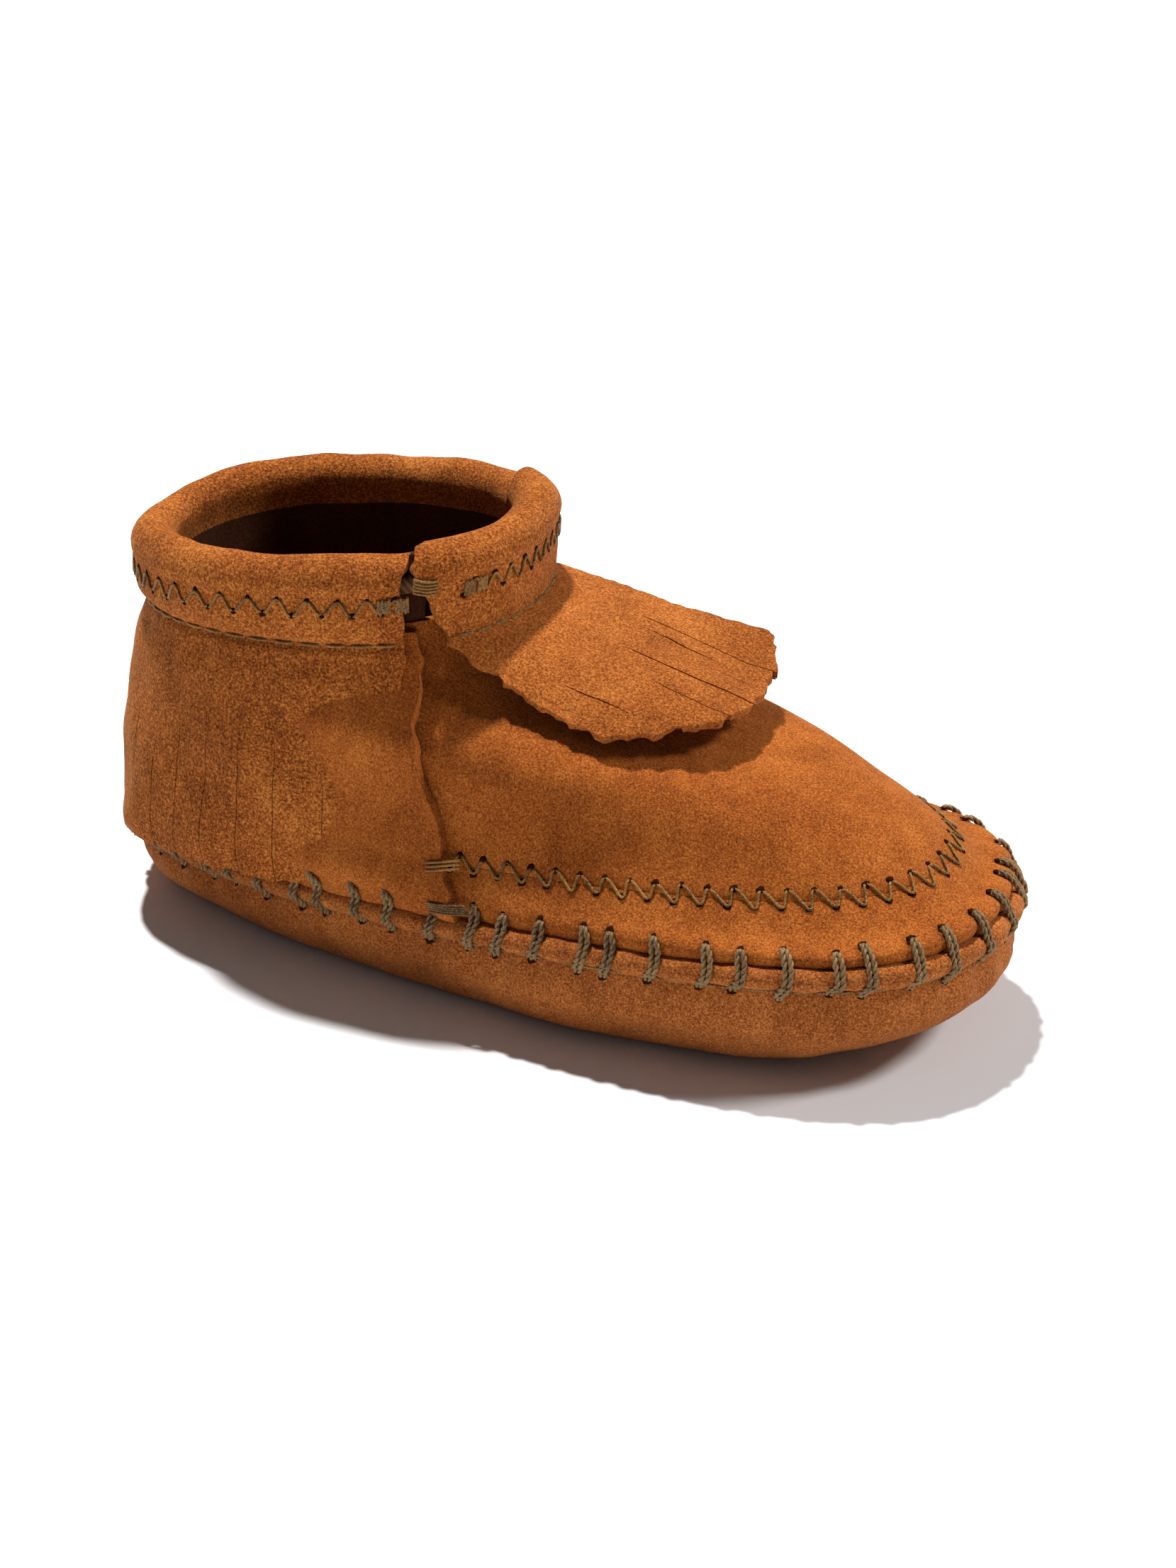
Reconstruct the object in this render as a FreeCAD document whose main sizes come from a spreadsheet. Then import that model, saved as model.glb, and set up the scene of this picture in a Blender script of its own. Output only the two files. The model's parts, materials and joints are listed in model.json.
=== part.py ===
import FreeCAD, Part
import math
import os

# An infant's soft-soled suede moccasin bootie, in millimetres.
# +X is the toe, +Z is up, and the origin is under the middle of the sole.
# The upper is a stack of ovals: seam line, toe line, instep, cuff line and rim.

Vector = FreeCAD.Vector
doc = FreeCAD.newDocument("moccasin")
sheet = doc.addObject("Spreadsheet::Sheet", "Sizes")

SIZES = [
    # the ovals
    ("shoe_length", 125.0), ("ball_half_width", 26.6), ("heel_taper", 6.2), ("ball_fullness", 0.9),
    ("seam_height", 11.8), ("seam_rise", 4.4), ("end_fullness", 0.2),
    ("toe_line_inset", 7.2), ("toe_line_side_inset", 3.0), ("toe_line_taper", 0.2), ("toe_line_lift", 10.1),
    ("toe_line_rise", 2.6), ("heel_lean_low", 3.0),
    ("instep_setback", 39.0), ("instep_half_width", 22.0), ("instep_drop", 8.6), ("heel_lean_mid", 4.8),
    ("collar_length", 50.7), ("collar_half_width", 18.8), ("heel_lean_cuff", 6.3),
    # the collar
    ("rim_height", 53.6), ("rim_rise", 3.0), ("cuff_line_rise", 2.1), ("cuff_depth", 9.6),
    ("rim_back_flare", 0.4), ("rim_front_inset", 0.4), ("roll_radius", 3.0), ("cord_radius", 1.2),
    # leather, sole and seams
    ("leather", 1.2), ("seam_gap", 0.06), ("sole_edge_inset", 7.0), ("toe_spring_length", 15.0),
    ("bead_radius", 1.3), ("side_seam_ahead", 5.0), ("side_seam_slant", 18.0), ("side_overlap", 4.0),
    # the fringes
    ("skirt_length", 29.8), ("skirt_flare", 0.8), ("skirt_setback", 1.5),
    ("skirt_slits", 22.0), ("slit_width", 0.5), ("slit_share", 0.66), ("slit_overshoot", 5.0),
    ("flap_length", 29.0), ("flap_half_width", 16.5), ("flap_bend_radius", 40.0), ("flap_slope", 13.0),
    ("flap_clearance", 0.5), ("flap_strip", 3.2), ("flap_slits", 6.0),
    # the insole
    ("foam_thickness", 3.0), ("sock_thickness", 1.0), ("sock_overhang", 1.0), ("insole_clearance", 0.8),
    # the threads
    ("thread_radius", 0.65), ("whipstitches", 50.0), ("fine_thread_radius", 0.22), ("zigzag_pitch", 3.4),
    ("zigzag_height", 2.7), ("lockstitch_pitch", 3.0), ("lockstitch_length", 2.25),
    ("tack_pitch", 1.1), ("tack_reach", 1.8), ("cuff_tack_radius", 0.286),
]
for row, (alias, value) in enumerate(SIZES, start=1):
    sheet.set("A%d" % row, alias)
    sheet.set("B%d" % row, str(value))
    sheet.setAlias("B%d" % row, alias)
doc.recompute()

OVAL_POINTS = 36
FAR = 300.0
UP = Vector(0, 0, 1)
SUB_PARTS = []


def size(alias):
    return float(sheet.get(alias))


def add_shape(label, shape):
    """Adds one sub-part whose shape was made from surfaces and booleans."""
    part = doc.addObject("Part::Feature", label)
    part.Label = label
    part.Shape = shape
    part.Placement = FreeCAD.Placement()
    SUB_PARTS.append(part)
    return part


# ---- the ovals that the whole shoe is stacked from ----

seam_front = size("shoe_length") / 2
seam_back = -seam_front
cuff_height = size("rim_height") - size("cuff_depth")
cuff_back = seam_back + size("heel_lean_cuff")
cuff_front = cuff_back + size("collar_length")
side_seam_x = cuff_front + size("side_seam_ahead")
leather = size("leather")
gap = size("seam_gap")


def level(front, back, half_width, taper, fullness, height, rise):
    return dict(front=front, back=back, half_width=half_width, taper=taper, fullness=fullness,
                height=height, rise=rise)


SEAM = level(seam_front, seam_back, size("ball_half_width"), size("heel_taper"), size("ball_fullness"),
             size("seam_height"), size("seam_rise"))
TOE_LINE = level(seam_front - size("toe_line_inset"), seam_back + size("heel_lean_low"),
                 size("ball_half_width") - size("toe_line_side_inset"), size("toe_line_taper"), 0.0,
                 size("seam_height") + size("toe_line_lift"), size("toe_line_rise"))
INSTEP = level(seam_front - size("instep_setback"), seam_back + size("heel_lean_mid"),
               size("instep_half_width"), 0.0, 0.0, cuff_height - size("instep_drop"), 0.0)
CUFF_LINE = level(cuff_front, cuff_back, size("collar_half_width"), 0.0, 0.0, cuff_height,
                  size("cuff_line_rise"))
RIM = level(cuff_front - size("rim_front_inset"), cuff_back - size("rim_back_flare"),
            size("collar_half_width"), 0.0, 0.0, size("rim_height"), size("rim_rise"))


def shifted(base, grow=0.0, lift=0.0):
    """The same oval, grown outward in its plane and lifted."""
    reach = (base["front"] - base["back"]) / 2
    moved = dict(base)
    moved["front"] = base["front"] + grow
    moved["back"] = base["back"] - grow
    moved["half_width"] = base["half_width"] + grow
    moved["height"] = base["height"] + lift
    moved["rise"] = base["rise"] * (reach + grow) / reach
    return moved


def oval_point(base, angle):
    """A point of an oval; angle 0 is the toe and pi is the heel."""
    along = math.cos(angle)
    middle = (base["front"] + base["back"]) / 2
    reach = (base["front"] - base["back"]) / 2
    width = base["half_width"] + base["taper"] * along + base["fullness"] * math.cos(2 * angle)
    blunt = along + size("end_fullness") * (along - along ** 3)
    return Vector(middle + reach * blunt, width * math.sin(angle), base["height"] + base["rise"] * blunt)


def oval_wire(base):
    points = [oval_point(base, 2 * math.pi * i / OVAL_POINTS) for i in range(OVAL_POINTS)]
    curve = Part.BSplineCurve()
    curve.interpolate(Points=points, PeriodicFlag=True)
    return Part.Wire([curve.toShape()])


def stack(levels):
    """A smooth solid through planar ovals, closed by flat ends."""
    return Part.makeLoft([oval_wire(base) for base in levels], True, False, False)


def ring(outer_rows, inner_rows, floor=False):
    """A wall between two stacks; the inner one runs past the outer's ends, but not through a floor."""
    past = size("roll_radius")
    inner_rows = inner_rows + [shifted(inner_rows[-1], 0.0, past)]
    if not floor:
        inner_rows = [shifted(inner_rows[0], 0.0, -past)] + inner_rows
    return stack(outer_rows).cut(stack(inner_rows))


def beyond(point, normal):
    """The half space past a plane, as a large box."""
    box = Part.makeBox(2 * FAR, 2 * FAR, FAR, Vector(-FAR, -FAR, 0))
    box.Placement = FreeCAD.Placement(point, FreeCAD.Rotation(UP, normal))
    return box


def plane_of(base, lift=0.0):
    """A point in an oval's plane and the plane's upward normal."""
    middle = (base["front"] + base["back"]) / 2
    slope = base["rise"] / ((base["front"] - base["back"]) / 2)
    return Vector(middle, 0, base["height"] + lift), Vector(-slope, 0, 1)


def above(base, lift=0.0):
    point, normal = plane_of(base, lift)
    return beyond(point, normal)


def below(base, lift=0.0):
    point, normal = plane_of(base, lift)
    return beyond(point, normal * -1)


def seam_normal():
    slant = math.radians(size("side_seam_slant"))
    return Vector(math.cos(slant), 0, math.sin(slant))


def in_front(shift=0.0):
    """What lies in front of the two side seams, which share one slanted plane."""
    start = Vector(side_seam_x + shift, 0, size("seam_height"))
    return beyond(start, seam_normal())


def behind(shift=0.0):
    start = Vector(side_seam_x + shift, 0, size("seam_height"))
    return beyond(start, seam_normal() * -1)


# Where the upper slopes, a row that is offset outward also moves up, by this share of the offset.
TOE_LINE_LIFT, INSTEP_LIFT, CUFF_LINE_LIFT = 0.48, 0.8, 0.32


def upper_rows(grow):
    """The upper's surface, offset outward by grow, from the seam line past the cuff line."""
    return [shifted(SEAM, grow), shifted(TOE_LINE, grow, grow * TOE_LINE_LIFT),
            shifted(INSTEP, grow, grow * INSTEP_LIFT), shifted(CUFF_LINE, grow, grow * CUFF_LINE_LIFT),
            shifted(RIM, grow, size("roll_radius"))]


# ---- bottom: a suede pan, turned up all round to the seam line ----

# The pan's profile: the share of its height, and the share of the edge inset at that height.
PAN_PROFILE = ((0.0, 1.0), (0.22, 0.4), (0.6, 0.05), (1.0, 0.0))


def pan_rows(grow, lift):
    """Rows of the pan's wall; the flat bottom is shorter at the toe, which is sprung."""
    edge = size("sole_edge_inset")
    spring = size("toe_spring_length")
    rows = []
    for share, inset_share in PAN_PROFILE:
        row = dict(SEAM)
        row["height"] = SEAM["height"] * share
        row["rise"] = SEAM["rise"] * share
        row["half_width"] = SEAM["half_width"] - edge * inset_share
        row["back"] = SEAM["back"] + edge * inset_share
        row["front"] = SEAM["front"] - (edge + spring) * inset_share
        rows.append(shifted(row, grow, lift * (1.0 - share)))
    return rows


def make_bottom():
    add_shape("bottom", ring(pan_rows(0.0, 0.0), pan_rows(-leather, leather), floor=True))


# ---- welt bead: a narrow folded strip caught in the seam between the bottom and the upper ----

def make_welt_bead():
    radius = size("bead_radius")
    outer = [shifted(SEAM, 0.0, gap), shifted(SEAM, radius, radius), shifted(SEAM, 0.0, 2 * radius)]
    inner = [shifted(SEAM, -leather, gap), shifted(SEAM, -leather, radius), shifted(SEAM, -leather, 2 * radius)]
    add_shape("welt_bead", ring(outer, inner))


# ---- upper: toe band, vamp and quarter ----

UPPER_START = 2 * size("bead_radius") + 2 * gap


def upper_shell(inside, outside):
    """The upper's wall; the planes that trim it also take off the stacks' flat ends."""
    shell = stack(upper_rows(outside)).cut(stack(upper_rows(inside)))
    return shell.common(above(SEAM, UPPER_START)).common(below(CUFF_LINE, -gap))


def make_upper():
    front = upper_shell(-leather, 0.0)
    front = front.common(in_front(-size("side_overlap")))
    add_shape("toe_band", front.common(below(TOE_LINE, -gap)))
    add_shape("vamp", front.common(above(TOE_LINE, gap)))
    back = upper_shell(gap, leather + gap).common(behind())
    add_shape("quarter", back)


# ---- collars: suede folded over a soft cord, stitched at the cuff line ----

MIDDLE_PLY = leather / 2
CUFF_HALF = 1.5 * leather + gap
ROLL_TURNS = (-25.0, 0.0, 25.0, 50.0, 75.0)
TUBE_TURNS = (-80.0, -40.0, 0.0, 40.0, 80.0)
# The cuff starts to swell towards its roll at this share of its height under the rim, by this share.
SWELL_DROP, SWELL = 0.62, 0.4
CUFF_CHEST = CUFF_HALF + SWELL * (size("roll_radius") - CUFF_HALF)
CUFF_RISE = RIM["height"] - CUFF_LINE["height"]


def cuff_rows(side):
    """Rows of the collar's outer (side 1) or inner (side -1) face, up over the roll."""
    roll = size("roll_radius")
    rows = [shifted(CUFF_LINE, MIDDLE_PLY + side * CUFF_HALF, gap)]
    rows.append(shifted(RIM, MIDDLE_PLY + side * CUFF_CHEST, -SWELL_DROP * CUFF_RISE))
    for turn in ROLL_TURNS:
        angle = math.radians(turn)
        rows.append(shifted(RIM, MIDDLE_PLY + side * roll * math.cos(angle), roll * math.sin(angle)))
    return rows


def tube(radius):
    """A closed round tube along the rim, made of an outer and an inner half."""
    halves = []
    for side in (1.0, -1.0):
        rows = []
        for turn in TUBE_TURNS:
            angle = math.radians(turn)
            rows.append(shifted(RIM, MIDDLE_PLY + side * radius * math.cos(angle), radius * math.sin(angle)))
        halves.append(rows)
    return ring(halves[0], halves[1])


def make_cuffs():
    end_gap = 4 * gap
    cuff = ring(cuff_rows(1.0), cuff_rows(-1.0)).cut(tube(size("cord_radius") + gap))
    add_shape("back_cuff", cuff.common(behind(-end_gap)))
    add_shape("front_cuff", cuff.common(in_front(end_gap)))
    cord = tube(size("cord_radius"))
    add_shape("back_cuff_cord", cord.common(behind(-end_gap)))
    add_shape("front_cuff_cord", cord.common(in_front(end_gap)))


# ---- back fringe: a skirt that hangs round the heel from the cuff line ----

# The share of the flare at the seam, toe line, instep, cuff line and rim.
FLARE_SHARES = (1.0, 0.75, 0.25, 0.0, 0.0)
SKIRT_SWEEP = (95.0, 265.0)


def skirt_rows(grow):
    """The skirt lies over the quarter from the cuff line down, and swings clear of it towards the hem."""
    rows = upper_rows(leather + 2 * gap + grow)
    return [shifted(row, size("skirt_flare") * share) for row, share in zip(rows, FLARE_SHARES)]


def make_back_fringe():
    skirt = stack(skirt_rows(leather)).cut(stack(skirt_rows(0.0)))
    top = angle_at_seam(CUFF_LINE)
    front_edge = oval_point(CUFF_LINE, top) - Vector(size("skirt_setback"), 0, 0)
    skirt = skirt.common(beyond(front_edge, Vector(-1, 0, 0)))
    skirt = skirt.common(above(CUFF_LINE, -size("skirt_length"))).common(below(CUFF_LINE, -gap))
    count = int(size("skirt_slits"))
    over = size("slit_overshoot")
    hem = CUFF_LINE["height"] - size("skirt_length") - over
    tall = size("skirt_length") * size("slit_share") + over
    first, last = SKIRT_SWEEP
    middle = (CUFF_LINE["front"] + CUFF_LINE["back"]) / 2
    slits = []
    for i in range(count):
        turn = first + (last - first) * (i + 0.5) / count
        slit = Part.makeBox(FAR, size("slit_width"), tall, Vector(0, -size("slit_width") / 2, 0))
        slit.Placement = FreeCAD.Placement(Vector(middle, 0, hem), FreeCAD.Rotation(UP, turn))
        slits.append(slit)
    add_shape("back_fringe", skirt.cut(Part.Compound(slits)))


# ---- insole: a foam bed and a suede sock, lying in the bottom ----

def add_insole(label, thickness_alias, base_expression, grow):
    """An insole layer: one closed sketch curve and a pad."""
    body = doc.addObject("PartDesign::Body", label)
    body.Label = label
    flat = [f for f in body.Origin.OriginFeatures if f.Role == "XY_Plane"][0]
    sketch = body.newObject("Sketcher::SketchObject", label + "_outline")
    sketch.AttachmentSupport = [(flat, "")]
    sketch.MapMode = "FlatFace"
    edge = size("sole_edge_inset") + leather + size("insole_clearance")
    outline = shifted(SEAM, -edge + grow)
    outline["front"] = outline["front"] - size("toe_spring_length")
    outline["height"] = 0.0
    outline["rise"] = 0.0
    points = [oval_point(outline, 2 * math.pi * i / OVAL_POINTS) for i in range(OVAL_POINTS)]
    curve = Part.BSplineCurve()
    curve.interpolate(Points=points, PeriodicFlag=True)
    sketch.addGeometry(curve, False)
    pad = body.newObject("PartDesign::Pad", label + "_pad")
    pad.Profile = sketch
    pad.setExpression("Length", "Sizes." + thickness_alias)
    body.setExpression("Placement.Base.z", base_expression)
    SUB_PARTS.append(body)
    return body


def make_insole():
    add_insole("insole_foam", "foam_thickness", "Sizes.leather + Sizes.seam_gap", 0.0)
    add_insole("insole_sock", "sock_thickness",
               "Sizes.leather + 2 * Sizes.seam_gap + Sizes.foam_thickness", size("sock_overhang"))


# ---- front fringe: a sewn strip under the front cuff, and the free flap that bends up from it ----

FLAP_ROOT = Vector(cuff_front + size("roll_radius") + leather + size("flap_clearance"), 0,
                   CUFF_LINE["height"] + CUFF_LINE["rise"] + leather + size("flap_clearance"))
ROOT_WIDTH_SHARE = 0.8
STRAIGHT_SHARE = 0.45


def make_front_fringe_strip():
    shell = upper_shell(gap, leather + gap).common(in_front(2 * gap))
    shell = shell.common(above(CUFF_LINE, -size("flap_strip")))
    add_shape("front_fringe_strip", shell)


def flap_outline():
    """The flap's plan: straight sides, and a rounded free end."""
    half = size("flap_half_width")
    side_length = size("flap_length") * STRAIGHT_SHARE
    root = Vector(FLAP_ROOT.x, 0, 0)
    root_right = root - Vector(0, half * ROOT_WIDTH_SHARE, 0)
    root_left = root + Vector(0, half * ROOT_WIDTH_SHARE, 0)
    right = root + Vector(side_length, -half, 0)
    left = root + Vector(side_length, half, 0)
    tip = root + Vector(size("flap_length"), 0, 0)
    edges = [Part.LineSegment(root_right, right).toShape(), Part.Arc(right, tip, left).toShape(),
             Part.LineSegment(left, root_left).toShape(), Part.LineSegment(root_left, root_right).toShape()]
    return Part.Face(Part.Wire(edges))


def flap_slits():
    """Narrow boxes that cut the free end into strands, fanned a little towards the sides."""
    count = int(size("flap_slits"))
    half = size("flap_half_width") * ROOT_WIDTH_SHARE
    slits = []
    for i in range(count):
        across = half * (2 * (i + 0.5) / count - 1)
        start = Vector(FLAP_ROOT.x + size("flap_length") * STRAIGHT_SHARE, across - size("slit_width") / 2, 0)
        slit = Part.makeBox(FAR, size("slit_width"), FAR, start)
        slit.rotate(start, UP, math.degrees(across / FAR))
        slits.append(slit)
    return Part.Compound(slits)


def make_front_fringe():
    bend = size("flap_bend_radius")
    run = Vector(size("flap_length") + leather, 0, 0)
    run.z = -math.tan(math.radians(size("flap_slope"))) * run.x
    facing_toe = FreeCAD.Rotation(Vector(0, 1, 0), 90)
    centre = FLAP_ROOT - UP * bend
    rods = []
    for radius in (bend + leather, bend):
        rod = Part.makeCylinder(radius, 1.0, Vector(0, 0, 0))
        disc = [face for face in rod.Faces if isinstance(face.Surface, Part.Plane)][0]
        disc.Placement = FreeCAD.Placement(centre, facing_toe).multiply(disc.Placement)
        rods.append(disc.extrude(run))
    flap = rods[0].cut(rods[1]).common(flap_outline().extrude(UP * FAR))
    add_shape("front_fringe", flap.cut(flap_slits()))


# ---- threads ----

def outward(base, angle):
    """The level outward direction at a point of an oval."""
    ahead = oval_point(base, angle + 0.02) - oval_point(base, angle - 0.02)
    side = ahead.cross(UP)
    return side.normalize()


def bar(start, end, radius):
    run = end - start
    return Part.makeCylinder(radius, run.Length, start, run)


def bent_bar(start, middle, end, radius):
    path = Part.Wire([Part.Arc(start, middle, end).toShape()])
    ring = Part.Wire([Part.Circle(start, middle - start, radius).toShape()])
    return path.makePipeShell([ring], True, False)


# Where a whipstitch enters the leather above and under the seam line, in bead radii: its height and its depth.
WHIP_TOP, WHIP_FOOT = (2.8, 0.5), (1.1, 0.15)
WHIP_LEAN = 0.012


def make_whipstitches():
    """Thick stitches that go over the bead, from the upper to the bottom, and lean at the heel and toe."""
    count = int(size("whipstitches"))
    radius = size("thread_radius")
    bead = size("bead_radius")
    stitches = []
    for i in range(count):
        angle = 2 * math.pi * (i + 0.5) / count
        lean = WHIP_LEAN * math.cos(angle)
        out = outward(SEAM, angle)
        top = oval_point(SEAM, angle + lean) + UP * (WHIP_TOP[0] * bead) - out * (WHIP_TOP[1] * bead)
        middle = oval_point(SEAM, angle) + UP * bead + out * (bead + radius)
        bottom = oval_point(SEAM, angle - lean) - UP * (WHIP_FOOT[0] * bead) - out * (WHIP_FOOT[1] * bead)
        stitches.append(bent_bar(top, middle, bottom, radius))
    add_shape("whipstitch_thread", Part.Compound(stitches))


def row_length(row, first, last):
    """The length of a row between two angles."""
    steps = 200
    points = [oval_point(row, first + (last - first) * i / steps) for i in range(steps + 1)]
    return sum((points[i + 1] - points[i]).Length for i in range(steps))


def zigzag(label, low_row, high_row, first, last):
    """A zigzag of fine thread between two rows, from one angle to another."""
    count = int(row_length(low_row, first, last) / size("zigzag_pitch")) * 2
    points = []
    for i in range(count + 1):
        row = low_row if i % 2 else high_row
        points.append(oval_point(row, first + (last - first) * i / count))
    bars = [bar(points[i], points[i + 1], size("fine_thread_radius")) for i in range(count)]
    add_shape(label, Part.Compound(bars))


def lockstitch(label, row, first, last):
    """A straight row of short stitches."""
    pitch = size("lockstitch_pitch")
    count = int(row_length(row, first, last) / pitch)
    turn = (last - first) / count
    covered = size("lockstitch_length") / pitch
    bars = []
    for i in range(count):
        start = oval_point(row, first + turn * i)
        end = oval_point(row, first + turn * (i + covered))
        bars.append(bar(start, end, size("fine_thread_radius")))
    add_shape(label, Part.Compound(bars))


def angle_at_seam(row):
    """The angle at which a row meets the side seams' plane on the left side; the right is its negative."""
    start = Vector(side_seam_x, 0, size("seam_height"))
    low, high = 0.05, math.pi - 0.05
    while high - low > 0.0005:
        middle = (low + high) / 2
        if (oval_point(row, middle) - start).dot(seam_normal()) > 0:
            low = middle
        else:
            high = middle
    return low


VAMP_ZIGZAG_END, CUFF_ZIGZAG_END, CUFF_SEAM_END = 0.12, 0.25, 0.12
ZIGZAG_DROP = 0.55
# The vamp's zigzag leans with the upper: its rows' offsets outward and upward, in halves of its height.
ZIGZAG_LOW, ZIGZAG_HIGH = (0.6, -0.8), (-0.5, 0.8)
FULL_TURN = 2 * math.pi


def make_thread_rows():
    half = size("zigzag_height") / 2
    low = shifted(TOE_LINE, ZIGZAG_LOW[0] * half, ZIGZAG_LOW[1] * half)
    high = shifted(TOE_LINE, ZIGZAG_HIGH[0] * half, ZIGZAG_HIGH[1] * half)
    end = angle_at_seam(TOE_LINE) - VAMP_ZIGZAG_END
    zigzag("vamp_zigzag_thread", low, high, -end, end)
    low = shifted(RIM, MIDDLE_PLY + CUFF_CHEST, -ZIGZAG_DROP * CUFF_RISE - half)
    high = shifted(RIM, MIDDLE_PLY + CUFF_CHEST, -ZIGZAG_DROP * CUFF_RISE + half)
    end = angle_at_seam(RIM) + CUFF_ZIGZAG_END
    zigzag("back_cuff_zigzag_thread", low, high, end, FULL_TURN - end)
    end = angle_at_seam(RIM) - CUFF_ZIGZAG_END
    zigzag("front_cuff_zigzag_thread", low, high, -end, end)
    row = shifted(CUFF_LINE, 2 * leather + 2 * gap, -leather)
    end = angle_at_seam(CUFF_LINE) + CUFF_SEAM_END
    lockstitch("back_cuff_seam_thread", row, end, FULL_TURN - end)
    row = shifted(CUFF_LINE, MIDDLE_PLY + CUFF_HALF, leather)
    end = angle_at_seam(CUFF_LINE) - CUFF_SEAM_END
    lockstitch("front_cuff_seam_thread", row, -end, end)
    lockstitch("welt_seam_thread", shifted(SEAM, gap, -leather / 2), 0.0, FULL_TURN)


def tack(row, side, reach, radius):
    """One short thread across a side seam, lying along a row."""
    angle = angle_at_seam(row)
    turn = reach / (oval_point(row, angle + 0.5) - oval_point(row, angle - 0.5)).Length
    return bar(oval_point(row, side * (angle - turn)), oval_point(row, side * (angle + turn)), radius)


def make_side_threads(name, side):
    """Stitches that hold the quarter's front edge down, and the thread tacks at its top and bottom."""
    radius = size("fine_thread_radius")
    step = size("tack_reach")
    pitch = size("tack_pitch")
    face = leather + gap
    edge_rows = [shifted(TOE_LINE, face), shifted(INSTEP, face, -4 * pitch), shifted(INSTEP, face),
                 shifted(CUFF_LINE, face, -3 * pitch)]
    add_shape("side_seam_thread_" + name, Part.Compound([tack(row, side, step, radius) for row in edge_rows]))
    top_rows = [shifted(RIM, MIDDLE_PLY + CUFF_CHEST, -SWELL_DROP * CUFF_RISE + i * pitch) for i in range(4)]
    thick = size("cuff_tack_radius")
    add_shape("cuff_tack_" + name, Part.Compound([tack(row, side, step, thick) for row in top_rows]))
    foot_rows = [shifted(SEAM, face / 2, UPPER_START + (i + 0.5) * pitch) for i in range(3)]
    add_shape("bead_tack_" + name, Part.Compound([tack(row, side, step, radius) for row in foot_rows]))


make_bottom()
make_welt_bead()
make_upper()
make_cuffs()
make_back_fringe()
make_insole()
make_front_fringe_strip()
make_front_fringe()
make_whipstitches()
make_thread_rows()
make_side_threads("left", 1)
make_side_threads("right", -1)

doc.recompute()
for thing in doc.Objects:
    if "Invalid" in thing.State or "Error" in thing.State:
        raise RuntimeError("%s failed: %s" % (thing.Name, thing.State))
for part in SUB_PARTS:
    if part.Shape.isNull() or not part.Shape.isValid() or not part.Shape.Solids:
        raise RuntimeError("%s has no valid solid" % part.Label)

os.makedirs("parts", exist_ok=True)
for part in SUB_PARTS:
    part.Shape.exportStep("parts/" + part.Label + ".step")
    print(part.Label, len(part.Shape.Solids), "solids", round(part.Shape.Volume, 1), "mm3")
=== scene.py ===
import json
import math
import random

import bpy
import numpy as np
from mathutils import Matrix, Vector, noise


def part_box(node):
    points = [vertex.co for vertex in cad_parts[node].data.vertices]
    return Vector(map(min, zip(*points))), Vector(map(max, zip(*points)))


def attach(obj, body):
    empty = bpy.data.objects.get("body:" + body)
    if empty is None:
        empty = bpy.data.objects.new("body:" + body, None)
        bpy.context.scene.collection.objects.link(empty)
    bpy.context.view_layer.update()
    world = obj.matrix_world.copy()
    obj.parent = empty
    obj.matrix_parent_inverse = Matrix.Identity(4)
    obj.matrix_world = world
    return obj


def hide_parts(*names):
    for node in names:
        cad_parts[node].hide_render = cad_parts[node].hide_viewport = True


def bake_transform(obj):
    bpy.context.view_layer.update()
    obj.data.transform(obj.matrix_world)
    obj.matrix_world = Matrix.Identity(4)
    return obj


# An infant's suede moccasin bootie, put together in the order in which it is sewn.
# +X is the toe, +Z is up and -Y is the wearer's right; lengths are in metres.
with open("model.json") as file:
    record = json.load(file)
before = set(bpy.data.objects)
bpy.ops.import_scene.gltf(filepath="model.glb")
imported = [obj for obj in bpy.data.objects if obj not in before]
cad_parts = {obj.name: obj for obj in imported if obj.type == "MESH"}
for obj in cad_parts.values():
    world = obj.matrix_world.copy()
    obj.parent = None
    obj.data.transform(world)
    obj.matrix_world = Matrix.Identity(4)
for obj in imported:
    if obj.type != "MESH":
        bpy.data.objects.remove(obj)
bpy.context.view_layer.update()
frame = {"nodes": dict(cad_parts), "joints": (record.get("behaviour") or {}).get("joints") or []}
mm = 0.001
turn = 2 * math.pi


# ---- The last ----
# Every panel is cut to a stack of tilted ovals: the seam line over the bottom, the toe line, the
# instep, the cuff line and the rim. A panel's skin is a smooth surface through such rows.

pan_low, pan_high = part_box("bottom")
cord_low, cord_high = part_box("front_cuff_cord")
end_fullness = 0.2
leather = 1.2 * mm
rim_rise = 3.0 * mm
seam_rise = 4.4 * mm
seam_height = pan_high[2] - seam_rise
rim_height = (cord_low[2] + cord_high[2]) / 2 - 1.2 * mm
cuff_height = rim_height - 9.6 * mm
heel = pan_low[0]
toe = pan_high[0]
cuff_back = heel + 6.3 * mm
cuff_front = cuff_back + 50.7 * mm


def level(front, back, half, taper, fullness, height, rise, dip=0.0):
    """One oval: its ends, half width, how much wider its toe half is, its height and its tilt."""
    return np.array([front, back, half, taper, fullness, height, rise, dip])


seam = level(toe, heel, pan_high[1], 6.2 * mm, 0.9 * mm, seam_height, seam_rise, -0.6 * mm)
toe_line = level(toe - 7.2 * mm, heel + 1.0 * mm, pan_high[1] - 3.0 * mm, 0.2 * mm, 0.0,
                 seam_height + 10.1 * mm, 2.6 * mm)
instep = level(toe - 39.0 * mm, heel + 4.0 * mm, 22.0 * mm, 0.0, 0.0, cuff_height - 8.6 * mm, 0.0)
cuff_line = level(cuff_front, cuff_back, 18.8 * mm, 0.0, 0.0, cuff_height, 2.1 * mm)
rim = level(cuff_front - 0.4 * mm, cuff_back - 0.4 * mm, 18.8 * mm, 0.0, 0.0, rim_height, rim_rise)


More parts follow.
